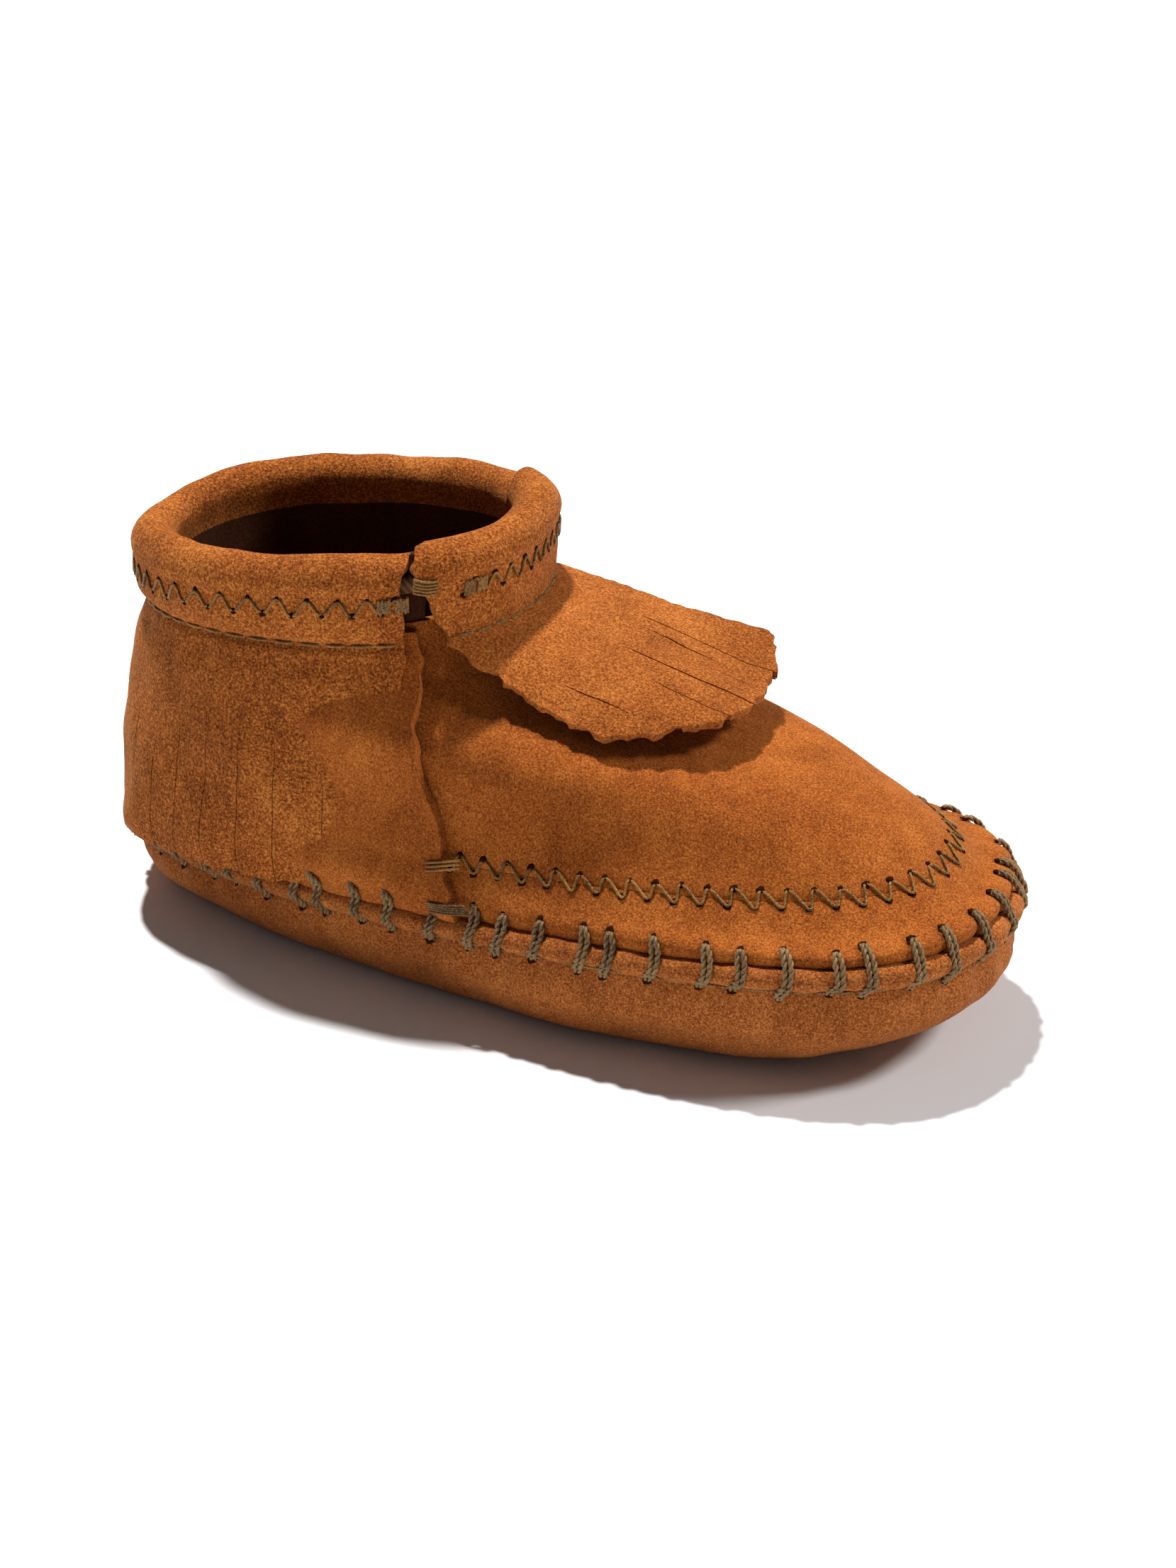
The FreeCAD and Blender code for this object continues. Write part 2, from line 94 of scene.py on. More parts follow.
def row(base, grow=0.0, lift=0.0):
    """The same oval, grown outward and lifted."""
    moved = base.copy()
    moved[:3] += (grow, -grow, grow)
    moved[5] += lift
    return moved


def oval(levels, angle):
    """Points of ovals; angle 0 is the toe, a quarter turn the left side and half a turn the heel."""
    front, back, half, taper, fullness, height, rise, dip = np.moveaxis(levels, -1, 0)
    along = np.cos(angle)
    blunt = along + end_fullness * (along - along ** 3)
    x = (front + back) / 2 + (front - back) / 2 * blunt
    y = (half + taper * along + fullness * np.cos(2 * angle)) * np.sin(angle)
    z = height + rise * blunt + dip * np.cos(2 * angle)
    return np.stack(np.broadcast_arrays(x, y, z), axis=-1)


def smooth(knots, rows, at):
    """Natural cubic curves through rows of numbers, read at other knots."""
    count = len(knots)
    step = np.diff(knots)[:, None]
    slope = np.diff(rows, axis=0) / step
    matrix = np.eye(count)
    target = np.zeros_like(rows)
    for i in range(1, count - 1):
        matrix[i, i - 1:i + 2] = step[i - 1, 0], 2 * (step[i - 1, 0] + step[i, 0]), step[i, 0]
        target[i] = 6 * (slope[i] - slope[i - 1])
    bend = np.linalg.solve(matrix, target)
    k = np.clip(np.searchsorted(knots, at) - 1, 0, count - 2)
    t = (at - knots[k])[:, None]
    h = step[k]
    straight = rows[k] + t * (slope[k] - h * (2 * bend[k] + bend[k + 1]) / 6)
    return straight + t ** 2 * bend[k] / 2 + t ** 3 * (bend[k + 1] - bend[k]) / (6 * h)


class Skin:
    """A smooth surface through rows; v is the mean distance along it from the first row.

    facing is 1 where the rows run up the outside, and -1 where they run down it.
    """

    def __init__(self, rows, facing=1.0):
        self.rows = np.array(rows)
        self.facing = facing
        around = np.linspace(0, turn, 73)
        rings = [oval(one, around) for one in self.rows]
        steps = [np.linalg.norm(b - a, axis=1).mean() for a, b in zip(rings, rings[1:])]
        self.knots = np.concatenate([[0.0], np.cumsum(steps)])
        self.height = self.knots[-1]

    def at(self, angle, v):
        angle, v = np.broadcast_arrays(angle, v)
        return oval(smooth(self.knots, self.rows, v.ravel()).reshape(v.shape + (8,)), angle)

    def normal(self, angle, v):
        across = self.at(angle + 0.002, v) - self.at(angle - 0.002, v)
        up = self.at(angle, v + 0.05 * mm) - self.at(angle, v - 0.05 * mm)
        out = np.cross(across, up) * self.facing
        return out / np.linalg.norm(out, axis=-1, keepdims=True)

    def angle_at(self, x, v):
        """The angle on the left side at which each row of v reaches the given x."""
        half_way = np.linspace(math.pi - 0.01, 0.01, 400)
        found = [np.interp(x_one, self.at(half_way, v_one)[:, 0], half_way)
                 for x_one, v_one in zip(*np.broadcast_arrays(x, v))]
        return np.array(found)


def wander(points, size, depth, seed):
    """Soft random relief: one number for each point."""
    flat = points.reshape(-1, 3) / size + seed * 7.3
    values = np.array([noise.noise(Vector(p)) for p in flat])
    return depth * values.reshape(points.shape[:-1])


def grid_faces(rows, columns, wrap):
    """Quads of a grid, facing outward where columns run round the shoe and rows run up it."""
    i, j = np.meshgrid(np.arange(rows - 1), np.arange(columns if wrap else columns - 1), indexing="ij")
    after = (j + 1) % columns
    corners = (i * columns + j, i * columns + after, (i + 1) * columns + after, (i + 1) * columns + j)
    return np.stack(corners, axis=-1).reshape(-1, 4)


def make_piece(name, points, faces, material):
    mesh = bpy.data.meshes.new(name)
    mesh.from_pydata([tuple(p) for p in points], [], [tuple(int(k) for k in f) for f in faces])
    mesh.polygons.foreach_set("use_smooth", [True] * len(mesh.polygons))
    mesh.materials.append(material)
    piece = bpy.data.objects.new(name, mesh)
    bpy.context.scene.collection.objects.link(piece)
    return piece


def thicken(piece, inside=None, soft_edge=0.25 * mm):
    """Gives a panel its leather, inward from its face, with softly rounded cut edges; inside, when given,
    colours the inner face and carries painted shade.
    """
    wall = piece.modifiers.new("leather", "SOLIDIFY")
    wall.thickness = leather
    wall.offset = -1.0
    if inside:
        piece.data.materials.append(inside)
        wall.material_offset = 1
    edge = piece.modifiers.new("soft_edge", "BEVEL")
    edge.width = soft_edge
    edge.segments = 2
    edge.angle_limit = math.radians(60)
    return piece


# ---- Suede ----
# The whole shoe is split cowhide, brushed to a short fuzzy nap: mottled where the nap lies in
# different directions, flecked with bright fibre tips and dark gaps, and matt with a faint sheen.

class Wire:
    """A node socket that takes part in Python arithmetic."""

    def __init__(self, graph, socket):
        self.graph = graph
        self.socket = socket

    def maths(self, operation, first, second):
        return self.graph.node("ShaderNodeMath", {"operation": operation}, {0: first, 1: second})

    def __add__(self, other):
        return self.maths("ADD", self, other)

    def __sub__(self, other):
        return self.maths("SUBTRACT", self, other)

    def __rsub__(self, other):
        return self.maths("SUBTRACT", other, self)

    def __mul__(self, other):
        return self.maths("MULTIPLY", self, other)

    def __truediv__(self, other):
        return self.maths("DIVIDE", self, other)

    __radd__ = __add__
    __rmul__ = __mul__


class Graph:
    """A node tree, written as calls."""

    def __init__(self, tree):
        self.tree = tree

    def node(self, kind, settings=None, inputs=None, out=0):
        made = self.tree.nodes.new(kind)
        for name, value in (settings or {}).items():
            if name == "stops":
                self.set_stops(made.color_ramp, value)
            else:
                setattr(made, name, value)
        for key, value in (inputs or {}).items():
            if isinstance(value, Wire):
                self.tree.links.new(value.socket, made.inputs[key])
            else:
                made.inputs[key].default_value = value
        return Wire(self, made.outputs[out]) if made.outputs else made

    def place(self):
        return self.node("ShaderNodeTexCoord", out="Object")

    def ramp(self, tone, *stops):
        return self.node("ShaderNodeValToRGB", {"stops": stops}, {"Fac": tone})

    def bump(self, height, strength, distance):
        return self.node("ShaderNodeBump", {}, {"Strength": strength, "Distance": distance, "Height": height})

    def vector(self, operation, first, second):
        second_socket = "Scale" if operation == "SCALE" else 1
        return self.node("ShaderNodeVectorMath", {"operation": operation}, {0: first, second_socket: second})

    @staticmethod
    def set_stops(ramp, stops):
        ramp.elements[0].position, ramp.elements[1].position = stops[0][0], stops[-1][0]
        for place, _ in stops[1:-1]:
            ramp.elements.new(place)
        for element, (_, colour) in zip(ramp.elements, stops):
            element.color = (*colour, 1.0)


def new_material(name):
    """A material with its output and a matt surface; gives the graph and the surface's node."""
    material = bpy.data.materials.new(name)
    material.use_nodes = True
    material.node_tree.nodes.clear()
    graph = Graph(material.node_tree)
    surface = graph.node("ShaderNodeBsdfPrincipled", {}, {"Roughness": 0.9, "Specular IOR Level": 0.1})
    graph.node("ShaderNodeOutputMaterial", {}, {"Surface": surface})
    return material, graph, surface.socket.node


def connect(graph, surface, **wires):
    for name, wire in wires.items():
        graph.tree.links.new(wire.socket, surface.inputs[name.replace("_", " ")])


def suede(name, dark, middle, light, nap=0.42 * mm, contrast=1.0, relief=0.16 * mm):
    """Suede nap from three colours; nap is the size of a tuft."""
    material, graph, surface = new_material(name)
    place = graph.place()

    def grain(size, detail, roughness, stretch=(1, 1, 1)):
        laid = graph.node("ShaderNodeMapping", {}, {"Vector": place, "Scale": stretch})
        return graph.node("ShaderNodeTexNoise", {}, {"Vector": laid, "Scale": 1 / size, "Detail": detail,
                                                     "Roughness": roughness})

    patches = grain(14 * mm, 2.0, 0.5)
    strokes = grain(3.2 * mm, 3.0, 0.6, (1.0, 1.0, 0.6))
    tufts = grain(nap, 3.0, 0.62)
    tips = grain(nap * 0.42, 2.0, 0.6, (1.0, 1.4, 0.8))
    tone = 0.5 + (patches - 0.5) * 0.55 + (strokes - 0.5) * 0.45
    tone = tone + (tufts - 0.5) * (1.5 * contrast) + (tips - 0.5) * (0.9 * contrast)
    colour = graph.ramp(tone, (0.0, dark), (0.5, middle), (1.0, light))
    height = tufts * 0.7 + tips * 0.35 + strokes * 0.25
    connect(graph, surface, Base_Color=colour, Normal=graph.bump(height, 0.85, relief))
    surface.inputs["Sheen Weight"].default_value = 0.12
    surface.inputs["Sheen Roughness"].default_value = 0.45
    surface.inputs["Sheen Tint"].default_value = (1.0, 0.60, 0.25, 1.0)
    return material


upper_suede = suede("upper_suede", (0.085, 0.017, 0.002), (0.30, 0.072, 0.009), (0.58, 0.19, 0.035),
                    nap=0.26 * mm, contrast=1.3, relief=0.2 * mm)
collar_suede = suede("collar_suede", (0.075, 0.015, 0.002), (0.31, 0.076, 0.010), (0.62, 0.22, 0.045),
                     nap=0.34 * mm, contrast=1.6, relief=0.34 * mm)
fringe_suede = suede("fringe_suede", (0.085, 0.018, 0.002), (0.31, 0.078, 0.011), (0.60, 0.21, 0.045),
                     nap=0.3 * mm, contrast=1.5, relief=0.28 * mm)
bottom_suede = suede("bottom_suede", (0.08, 0.018, 0.003), (0.29, 0.076, 0.014), (0.56, 0.20, 0.05),
                     nap=0.28 * mm, contrast=1.5, relief=0.2 * mm)
# painted shade: a near-black copy of the suede, put on the inner faces of the panels and the collar's inner
# ply to stand in for the shade inside the shoe
painted_shade_suede = suede("painted_shade_suede", (0.012, 0.003, 0.001), (0.045, 0.012, 0.004), (0.10, 0.03, 0.01),
                   contrast=0.8)


# ---- Whipstitch places ----
# The thick stitches over the bead are spaced by hand, some of them in pairs. The bead swells between
# them, and the leather above and below is pulled in at each one.

stitch_gaps = [5.4, 6.6, 3.6, 6.2, 6.9, 4.4, 5.9, 6.4, 4.0, 6.3, 5.2, 6.7, 6.0, 4.2]
around_table = np.linspace(0, turn, 2881)
seam_ring = oval(row(seam, 0.6 * mm, 1.3 * mm), around_table)
seam_length = np.concatenate([[0.0], np.cumsum(np.linalg.norm(np.diff(seam_ring, axis=0), axis=1))])


def angle_along_seam(length):
    return np.interp(np.mod(length, seam_length[-1]), seam_length, around_table)


stitch_places = []
reached = 1.5 * mm
while reached < seam_length[-1] - 2.5 * mm:
    stitch_places.append(reached)
    reached += stitch_gaps[len(stitch_places) % len(stitch_gaps)] * mm
stitch_places = np.array(stitch_places)


def along_seam(angle):
    return np.interp(np.mod(angle, turn), around_table, seam_length)


def pull(angle, width=1.0 * mm):
    """How strongly the stitches pull in at an angle, from 0 to 1."""
    away = np.abs(along_seam(angle)[..., None] - stitch_places)
    away = np.minimum(away, seam_length[-1] - away)
    return np.exp(-(away / width) ** 2).max(axis=-1)


def swell(angle):
    """The bead's fullness at an angle: 0 at a stitch and 1 in the middle of a wide gap."""
    place = along_seam(angle)
    after = np.searchsorted(stitch_places, place)
    starts = np.concatenate([[stitch_places[-1] - seam_length[-1]], stitch_places])
    ends = np.concatenate([stitch_places, [stitch_places[0] + seam_length[-1]]])
    share = (place - starts[after]) / (ends[after] - starts[after])
    width = np.minimum((ends[after] - starts[after]) / (5.5 * mm), 1.15)
    return width * np.sqrt(np.clip(np.sin(math.pi * share), 0.0, 1.0))


# ---- Bottom ----
# One piece of suede that lies under the foot and turns up all round, like a pan, to the seam. It is
# soft, so it bellies out a little under the seam and is gathered by the stitches.

sole_edge = 7.0 * mm
toe_spring = 15.0 * mm
pan_profile = [(0.0, 1.0), (0.10, 0.62), (0.22, 0.38), (0.42, 0.13), (0.62, -0.03), (0.82, -0.07),
               (0.93, -0.04)]
pan_rows = []
for share, inset in pan_profile:
    one = seam.copy()
    one[0] -= (sole_edge + (toe_spring if inset > 0 else 0.0)) * inset
    one[1] += sole_edge * inset
    one[2] -= sole_edge * inset
    one[5:8] *= share
    pan_rows.append(one)
pan_rows.append(row(seam, -0.15 * mm, 0.05 * mm))
pan_rows.append(row(seam, -1.3 * mm, 0.5 * mm))
pan_skin = Skin(pan_rows)

pan_columns = 640
pan_angles = np.linspace(0, turn, pan_columns, endpoint=False)
pan_v = np.concatenate([np.linspace(0, pan_skin.height - 3 * mm, 22, endpoint=False),
                        np.linspace(pan_skin.height - 3 * mm, pan_skin.height, 10)])
angle_grid, v_grid = np.meshgrid(pan_angles, pan_v)
pan_points = pan_skin.at(angle_grid, v_grid)
pan_normals = pan_skin.normal(angle_grid, v_grid)
below_seam = pan_skin.height - v_grid
gather = pull(angle_grid, 1.5 * mm) * np.exp(-((below_seam - 3.0 * mm) / (2.6 * mm)) ** 2)
creases = wander(pan_points, 16 * mm, 0.9 * mm, 1) + wander(pan_points, 5 * mm, 0.25 * mm, 2)
near_seam = np.clip(below_seam / (4 * mm), 0.0, 1.0)
off_floor = np.clip(pan_points[..., 2] / (3 * mm), 0.0, 1.0)
pan_points += pan_normals * (creases * near_seam * off_floor - 0.55 * mm * gather)[..., None]
pan_points[..., 2] = np.maximum(pan_points[..., 2], 0.0)

centre = np.array([(heel + toe - toe_spring) / 2, 0.0, 0.0])
floor_rings = [centre + (pan_points[0] - centre) * share for share in (0.1, 0.3, 0.5, 0.7, 0.85, 0.95)]
pan_all = np.concatenate([np.array(floor_rings), pan_points])
faces = grid_faces(len(pan_all), pan_columns, True)
middle_index = pan_all.shape[0] * pan_columns
hub = [(middle_index, (k + 1) % pan_columns, k) for k in range(pan_columns)]
flat_points = np.concatenate([pan_all.reshape(-1, 3), centre[None]])
bottom = make_piece("suede_bottom_pan", flat_points, list(faces) + hub, bottom_suede)
thicken(bottom, painted_shade_suede)
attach(bottom, "shoe")
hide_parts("bottom")


# ---- Welt bead ----
# A narrow strip of the same suede, folded double and caught in the seam between the bottom and the
# upper. Each whipstitch pinches it, so it stands out in soft lumps.

bead_columns = 1300
bead_sides = 14
bead_angles = np.linspace(0, turn, bead_columns, endpoint=False)
section = np.linspace(0, turn, bead_sides, endpoint=False)
angle_grid, section_grid = np.meshgrid(bead_angles, section)
full = swell(angle_grid)
centre_ring = oval(row(seam, -0.15 * mm, 1.45 * mm), angle_grid)
out = oval(row(seam, 0.85 * mm, 1.45 * mm), angle_grid) - centre_ring
out[..., 2] = 0.0
out /= np.linalg.norm(out, axis=-1, keepdims=True)
lumps = 1.0 + wander(centre_ring, 3.0 * mm, 0.16, 3)
reach_out = (1.15 * mm + 0.62 * mm * full) * lumps
reach_up = (1.12 * mm + 0.42 * mm * full) * lumps
bead_points = centre_ring + out * (reach_out * np.cos(section_grid))[..., None]
bead_points[..., 2] += reach_up * np.sin(section_grid)
faces = grid_faces(bead_sides, bead_columns, True)
last = (bead_sides - 1) * bead_columns
closing = [(last + j, last + (j + 1) % bead_columns, (j + 1) % bead_columns, j)
           for j in range(bead_columns)]
bead = make_piece("welt_bead_strip", bead_points.reshape(-1, 3), list(faces) + closing, bottom_suede)
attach(bead, "shoe")
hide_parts("welt_bead")


# ---- Upper: toe band and vamp ----
# The toe band wraps the toe above the bead, and the vamp is the tongue-shaped plug over the foot.
# Their cut edges butt together along the toe line, under a zigzag.

side_seam_x = -0.5 * mm
side_seam_slope = math.tan(math.radians(18.0))
seam_overlap = 4.0 * mm


def upper_rows(grow):
    """The upper from behind the bead to inside the collar, offset outward by grow."""
    belly = (seam + toe_line) / 2
    return [row(seam, grow - 1.5 * mm, 1.9 * mm), row(seam, grow - 0.45 * mm, 2.75 * mm),
            row(seam, grow - 0.05 * mm, 4.2 * mm), row(belly, grow + 0.75 * mm, 1.2 * mm),
            row(toe_line, grow, grow * 0.5), row(instep, grow, grow * 0.8),
            row(cuff_line, grow, grow * 0.3), row(rim, grow, -3.0 * mm)]


def seam_angles(skin, v, shift=0.0):
    """The angles at which the side seam's slanted plane crosses each row of a skin."""
    found = []
    for one in v:
        trial = np.linspace(math.pi - 0.02, 0.02, 500)
        points = skin.at(trial, one)
        ahead = points[:, 0] + (points[:, 2] - seam_height) * side_seam_slope - side_seam_x - shift
        found.append(np.interp(0.0, ahead, trial))
    return np.array(found)


front_skin = Skin(upper_rows(0.0))
toe_v = front_skin.knots[4]
cuff_v = front_skin.knots[6]


def relief(skin, points, angle, v, seed):
    """What hand sewing and soft leather do to a panel: gathers over the bead and gentle unevenness."""
    over_bead = pull(angle, 1.3 * mm) * np.exp(-((v - 3.0 * mm) / (2.4 * mm)) ** 2)
    soft = wander(points, 22 * mm, 0.7 * mm, seed) + wander(points, 7 * mm, 0.2 * mm, seed + 1)
    fade = np.clip(v / (5 * mm), 0.0, 1.0)
    along_toe_line = np.exp(-((v - toe_v) / (0.9 * mm)) ** 2)
    depth = soft * fade - 0.4 * mm * over_bead - 0.14 * mm * along_toe_line
    return points + skin.normal(angle, v) * depth[..., None]


def front_face(angle, v):
    """The worked surface of the toe band and vamp."""
    return relief(front_skin, front_skin.at(angle, v), angle, v, 11)


def front_panel(name, v_low, v_high, rows, columns):
    v = np.linspace(v_low, v_high, rows)
    ends = seam_angles(front_skin, v, -seam_overlap)
    share = np.linspace(-1, 1, columns)
    angle_grid = ends[:, None] * share[None, :]
    v_grid = np.repeat(v[:, None], columns, axis=1)
    points = front_face(angle_grid, v_grid)
    return make_piece(name, points.reshape(-1, 3), grid_faces(rows, columns, False), upper_suede)


toe_band = front_panel("toe_band_panel", 0.0, toe_v - 0.02 * mm, 26, 560)
vamp = front_panel("vamp_panel", toe_v + 0.02 * mm, cuff_v + 3 * mm, 52, 480)
for piece, node in ((toe_band, "toe_band"), (vamp, "vamp")):
    thicken(piece, painted_shade_suede, soft_edge=0.05 * mm)
    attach(piece, "shoe")
    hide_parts(node)


# ---- Quarter ----
# The quarter wraps the heel and laps over the vamp and toe band at both sides; its front edges are
# cut raw, a little wavy, and held down by a few tacks only.

back_skin = Skin(upper_rows(leather + 0.1 * mm))


def back_face(angle, v):
    """The worked surface of the quarter."""
    return relief(back_skin, back_skin.at(angle, v), angle, v, 21)


quarter_rows, quarter_columns = 64, 520
v = np.linspace(0.0, back_skin.knots[6] + 2 * mm, quarter_rows)
edge = seam_angles(back_skin, v)
share = np.linspace(0, 1, quarter_columns)
angle_grid = edge[:, None] + (turn - 2 * edge[:, None]) * share[None, :]
v_grid = np.repeat(v[:, None], quarter_columns, axis=1)
points = back_face(angle_grid, v_grid)
from_edge = np.minimum(share, 1 - share)[None, :] * 160 * mm
ragged = np.exp(-from_edge / (1.5 * mm))
points[..., 0] += ragged * wander(points, 2.2 * mm, 0.9 * mm, 23)
lifted = np.exp(-from_edge / (2.2 * mm)) * np.clip(np.sin(v_grid / back_skin.height * math.pi), 0, 1)
points += back_skin.normal(angle_grid, v_grid) * (0.45 * mm * lifted)[..., None]
quarter = make_piece("quarter_panel", points.reshape(-1, 3),
                     grid_faces(quarter_rows, quarter_columns, False), upper_suede)
thicken(quarter, painted_shade_suede)
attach(quarter, "shoe")
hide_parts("quarter")


# ---- Collars and the back skirt ----
# Each collar is suede folded over a soft cord: up inside the shoe, over the cord and down outside to a
# line of stitching. At the back the outer ply goes on below that line as a skirt, cut into strands.

ply_middle = leather / 2
waist = 1.55 * leather
roll_radius = 3.0 * mm
chest = waist + 0.45 * (roll_radius - waist)
collar_rise = rim_height - cuff_height
roll_turns = (205, 180, 150, 120, 90, 60, 30, 0, -25)


def collar_rows(top):
    rows = [row(cuff_line, ply_middle - waist, -5 * mm), row(top, ply_middle - chest, -0.62 * collar_rise)]
    for degrees in roll_turns:
        around = math.radians(degrees)
        rows.append(row(top, ply_middle + roll_radius * math.cos(around), roll_radius * math.sin(around)))
    rows.append(row(top, ply_middle + chest, -0.62 * collar_rise))
    rows.append(row(cuff_line, ply_middle + waist, 1.3 * mm))
    return rows


skirt_length = 31.0 * mm
skirt_profile = ((0.03, 0.35), (0.10, 0.75), (0.25, 0.9), (0.5, 0.9), (0.75, 0.9), (0.93, 0.8), (1.0, 0.3))
skirt_rows = []
for share, out_by in skirt_profile:
    one = row(cuff_line, 2.2 * mm + out_by * mm, -skirt_length * share)
    one[1] -= 4.6 * mm * share ** 0.8
    one[2] += 3.4 * mm * share ** 0.8
    skirt_rows.append(one)
collar_skin = Skin(collar_rows(rim) + [row(cuff_line, ply_middle + waist + 0.1 * mm, 0.0)] + skirt_rows,
                   facing=-1.0)
stitch_row = len(roll_turns) + 3
stitch_v = collar_skin.knots[stitch_row]


class Slits:
    """A grid whose columns part along slits, so that strands hang side by side."""

    opening_rows = 4

    def __init__(self, grid, slits):
        """slits: (column, first row, last row, half width); a slit that ends inside closes again."""
        self.points = [p for line in grid for p in line]
        rows, columns = grid.shape[:2]
        left = np.arange(rows * columns).reshape(rows, columns)
        right = left.copy()
        for column, first, last, half_width in slits:
            closes = last < rows - 1
            for i in range(first + 1, last if closes else rows):
                along = grid[i, min(column + 1, columns - 1)] - grid[i, max(column - 1, 0)]
                along = along / np.linalg.norm(along)
                if closes:
                    open_share = math.sin(math.pi * (i - first) / (last - first))
                else:
                    open_share = min(1.0, (i - first) / self.opening_rows)
                self.points[left[i, column]] = grid[i, column] - along * half_width * open_share
                right[i, column] = len(self.points)
                self.points.append(grid[i, column] + along * half_width * open_share)
        self.faces = []
        for i in range(rows - 1):
            for j in range(columns - 1):
                self.faces.append((right[i + 1, j], left[i + 1, j + 1], left[i, j + 1], right[i, j]))


def beyond_slit(rows, columns, column, first):
    """0 on one side of a slit; on the other it grows from 0 at the slit's first row to 1 at the end."""
    far_side = np.clip(np.arange(columns) - column, 0, 1)[None, :]
    return np.clip((np.arange(rows) - first) / (rows - first), 0.0, 1.0)[:, None] * far_side


def collar_face(skin, angle, v, stitched_at, groove_depth, seed):
    """The worked surface of a collar: soft unevenness, and a groove along its stitch line."""
    points = skin.at(angle, v)
    uneven = wander(points, 12 * mm, 0.5 * mm, seed) + wander(points, 4 * mm, 0.18 * mm, seed + 1)
    groove = np.exp(-((v - stitched_at) / (0.65 * mm)) ** 2)
    return points + skin.normal(angle, v) * (uneven * (1 - 0.8 * groove) - groove_depth * groove)[..., None]


def collar_grid(skin, v, edges, columns, stitched_at, groove_depth, seed):
    """Points of a collar between its two front edges, round the heel or round the front."""
    share = np.linspace(0, 1, columns)
    angle_grid = edges[0][:, None] * (1 - share) + edges[1][:, None] * share
    v_grid = np.repeat(v[:, None], columns, axis=1)
    points = collar_face(skin, angle_grid, v_grid, stitched_at, groove_depth, seed)
    from_edge = np.minimum(share, 1 - share)[None, :] * 100 * mm
    points[..., 0] += np.exp(-from_edge / (1.0 * mm)) * wander(points, 1.8 * mm, 0.6 * mm, seed + 2)
    return angle_grid, v_grid, points


random.seed(7)
back_columns = 460
back_edge_x = -12.9 * mm
back_seed = 31
v = np.concatenate([np.linspace(0, stitch_v - 2 * mm, 40, endpoint=False),
                    np.linspace(stitch_v - 2 * mm, stitch_v + 2 * mm, 12, endpoint=False),
                    np.linspace(stitch_v + 2 * mm, collar_skin.height, 38)])
back_rows = len(v)
back_edge = collar_skin.angle_at(np.full(back_rows, back_edge_x), v)
angle_grid, v_grid, points = collar_grid(collar_skin, v, (back_edge, turn - back_edge), back_columns,
                                         stitch_v, 0.5 * mm, back_seed)
normals = collar_skin.normal(angle_grid, v_grid)
below = np.clip((v_grid - stitch_v) / skirt_length, 0.0, 1.0)
sway = wander(points, 9 * mm, 0.9 * mm, 35) * below
points += normals * sway[..., None]
skirt_first = int(np.searchsorted(v, stitch_v + 0.28 * skirt_length))
slit_list = []
skirt_slits = 24
for i in range(skirt_slits):
    share = 0.06 + 0.88 * (i + 0.5) / skirt_slits
    near_heel = 1.0 - abs(2 * share - 1.0)
    column = int(back_columns * share + random.uniform(-3, 3))
    first = int(skirt_first + (back_rows - skirt_first) * random.uniform(0.0, 0.35) * (1.3 - near_heel))
    slit_list.append((column, first, back_rows - 1, (0.05 + 0.06 * near_heel) * mm))
    droop = random.uniform(-0.35, 0.35) * mm
    stand = random.uniform(-0.2, 0.2) * mm
    strands = beyond_slit(back_rows, back_columns, column, first)
    points[..., 2] += droop * strands
    points += normals * (stand * strands)[..., None]
hem = np.exp(-((collar_skin.height - v_grid) / (0.8 * mm)))
points[..., 2] += hem * wander(points, 1.6 * mm, 0.5 * mm, 37)
cut = Slits(points, slit_list)
back_collar = make_piece("back_collar_and_skirt", cut.points, cut.faces, collar_suede)
# painted shade: faces of the inner ply below the opening edge take the near-black suede, standing in for the
# shade inside the shoe
back_collar.data.materials.append(painted_shade_suede)
opening_edge = (collar_skin.knots[1] + collar_skin.knots[2]) / 2
painted_shade_faces = np.repeat(v[:-1] < opening_edge, back_columns - 1)
back_collar.data.polygons.foreach_set("material_index", painted_shade_faces.astype(int))
thicken(back_collar, soft_edge=0.2 * mm)
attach(back_collar, "shoe")
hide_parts("back_cuff", "back_fringe")


# ---- Front collar ----
# The short collar over the instep. Its outer ply goes on below the stitching as the fringe flap.

front_rim = row(rim, 0.0, 0.8 * mm)
front_rows = collar_rows(front_rim)
front_rows[-1] = row(cuff_line, ply_middle + waist, 1.9 * mm)
front_rows.append(row(cuff_line, ply_middle + waist + 0.3 * mm, 1.0 * mm))
front_collar_skin = Skin(front_rows, facing=-1.0)
front_stitch_v = front_collar_skin.knots[-2] + 0.2 * mm
front_top_v = front_collar_skin.knots[6]
front_rows_count, front_columns = 58, 300
front_seed = 41
front_v = np.linspace(0, front_collar_skin.height, front_rows_count)
down_outside = np.clip((front_v - front_top_v) / (front_stitch_v - front_top_v), 0.0, 1.2)
front_edge = front_collar_skin.angle_at(-12.2 * mm + 4.0 * mm * down_outside ** 1.3, front_v)
angle_grid, v_grid, points = collar_grid(front_collar_skin, front_v, (-front_edge, front_edge),
                                         front_columns, front_stitch_v, 0.35 * mm, front_seed)
front_collar = make_piece("front_collar", points.reshape(-1, 3),
                          grid_faces(front_rows_count, front_columns, False)[:, ::-1], collar_suede)
thicken(front_collar, soft_edge=0.2 * mm)
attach(front_collar, "shoe")
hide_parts("front_cuff", "front_fringe_strip")


# ---- Fringe flap ----
# The front collar's outer ply, hanging forward over the vamp as a rounded apron. Its free end is cut
# into a few uneven strands.

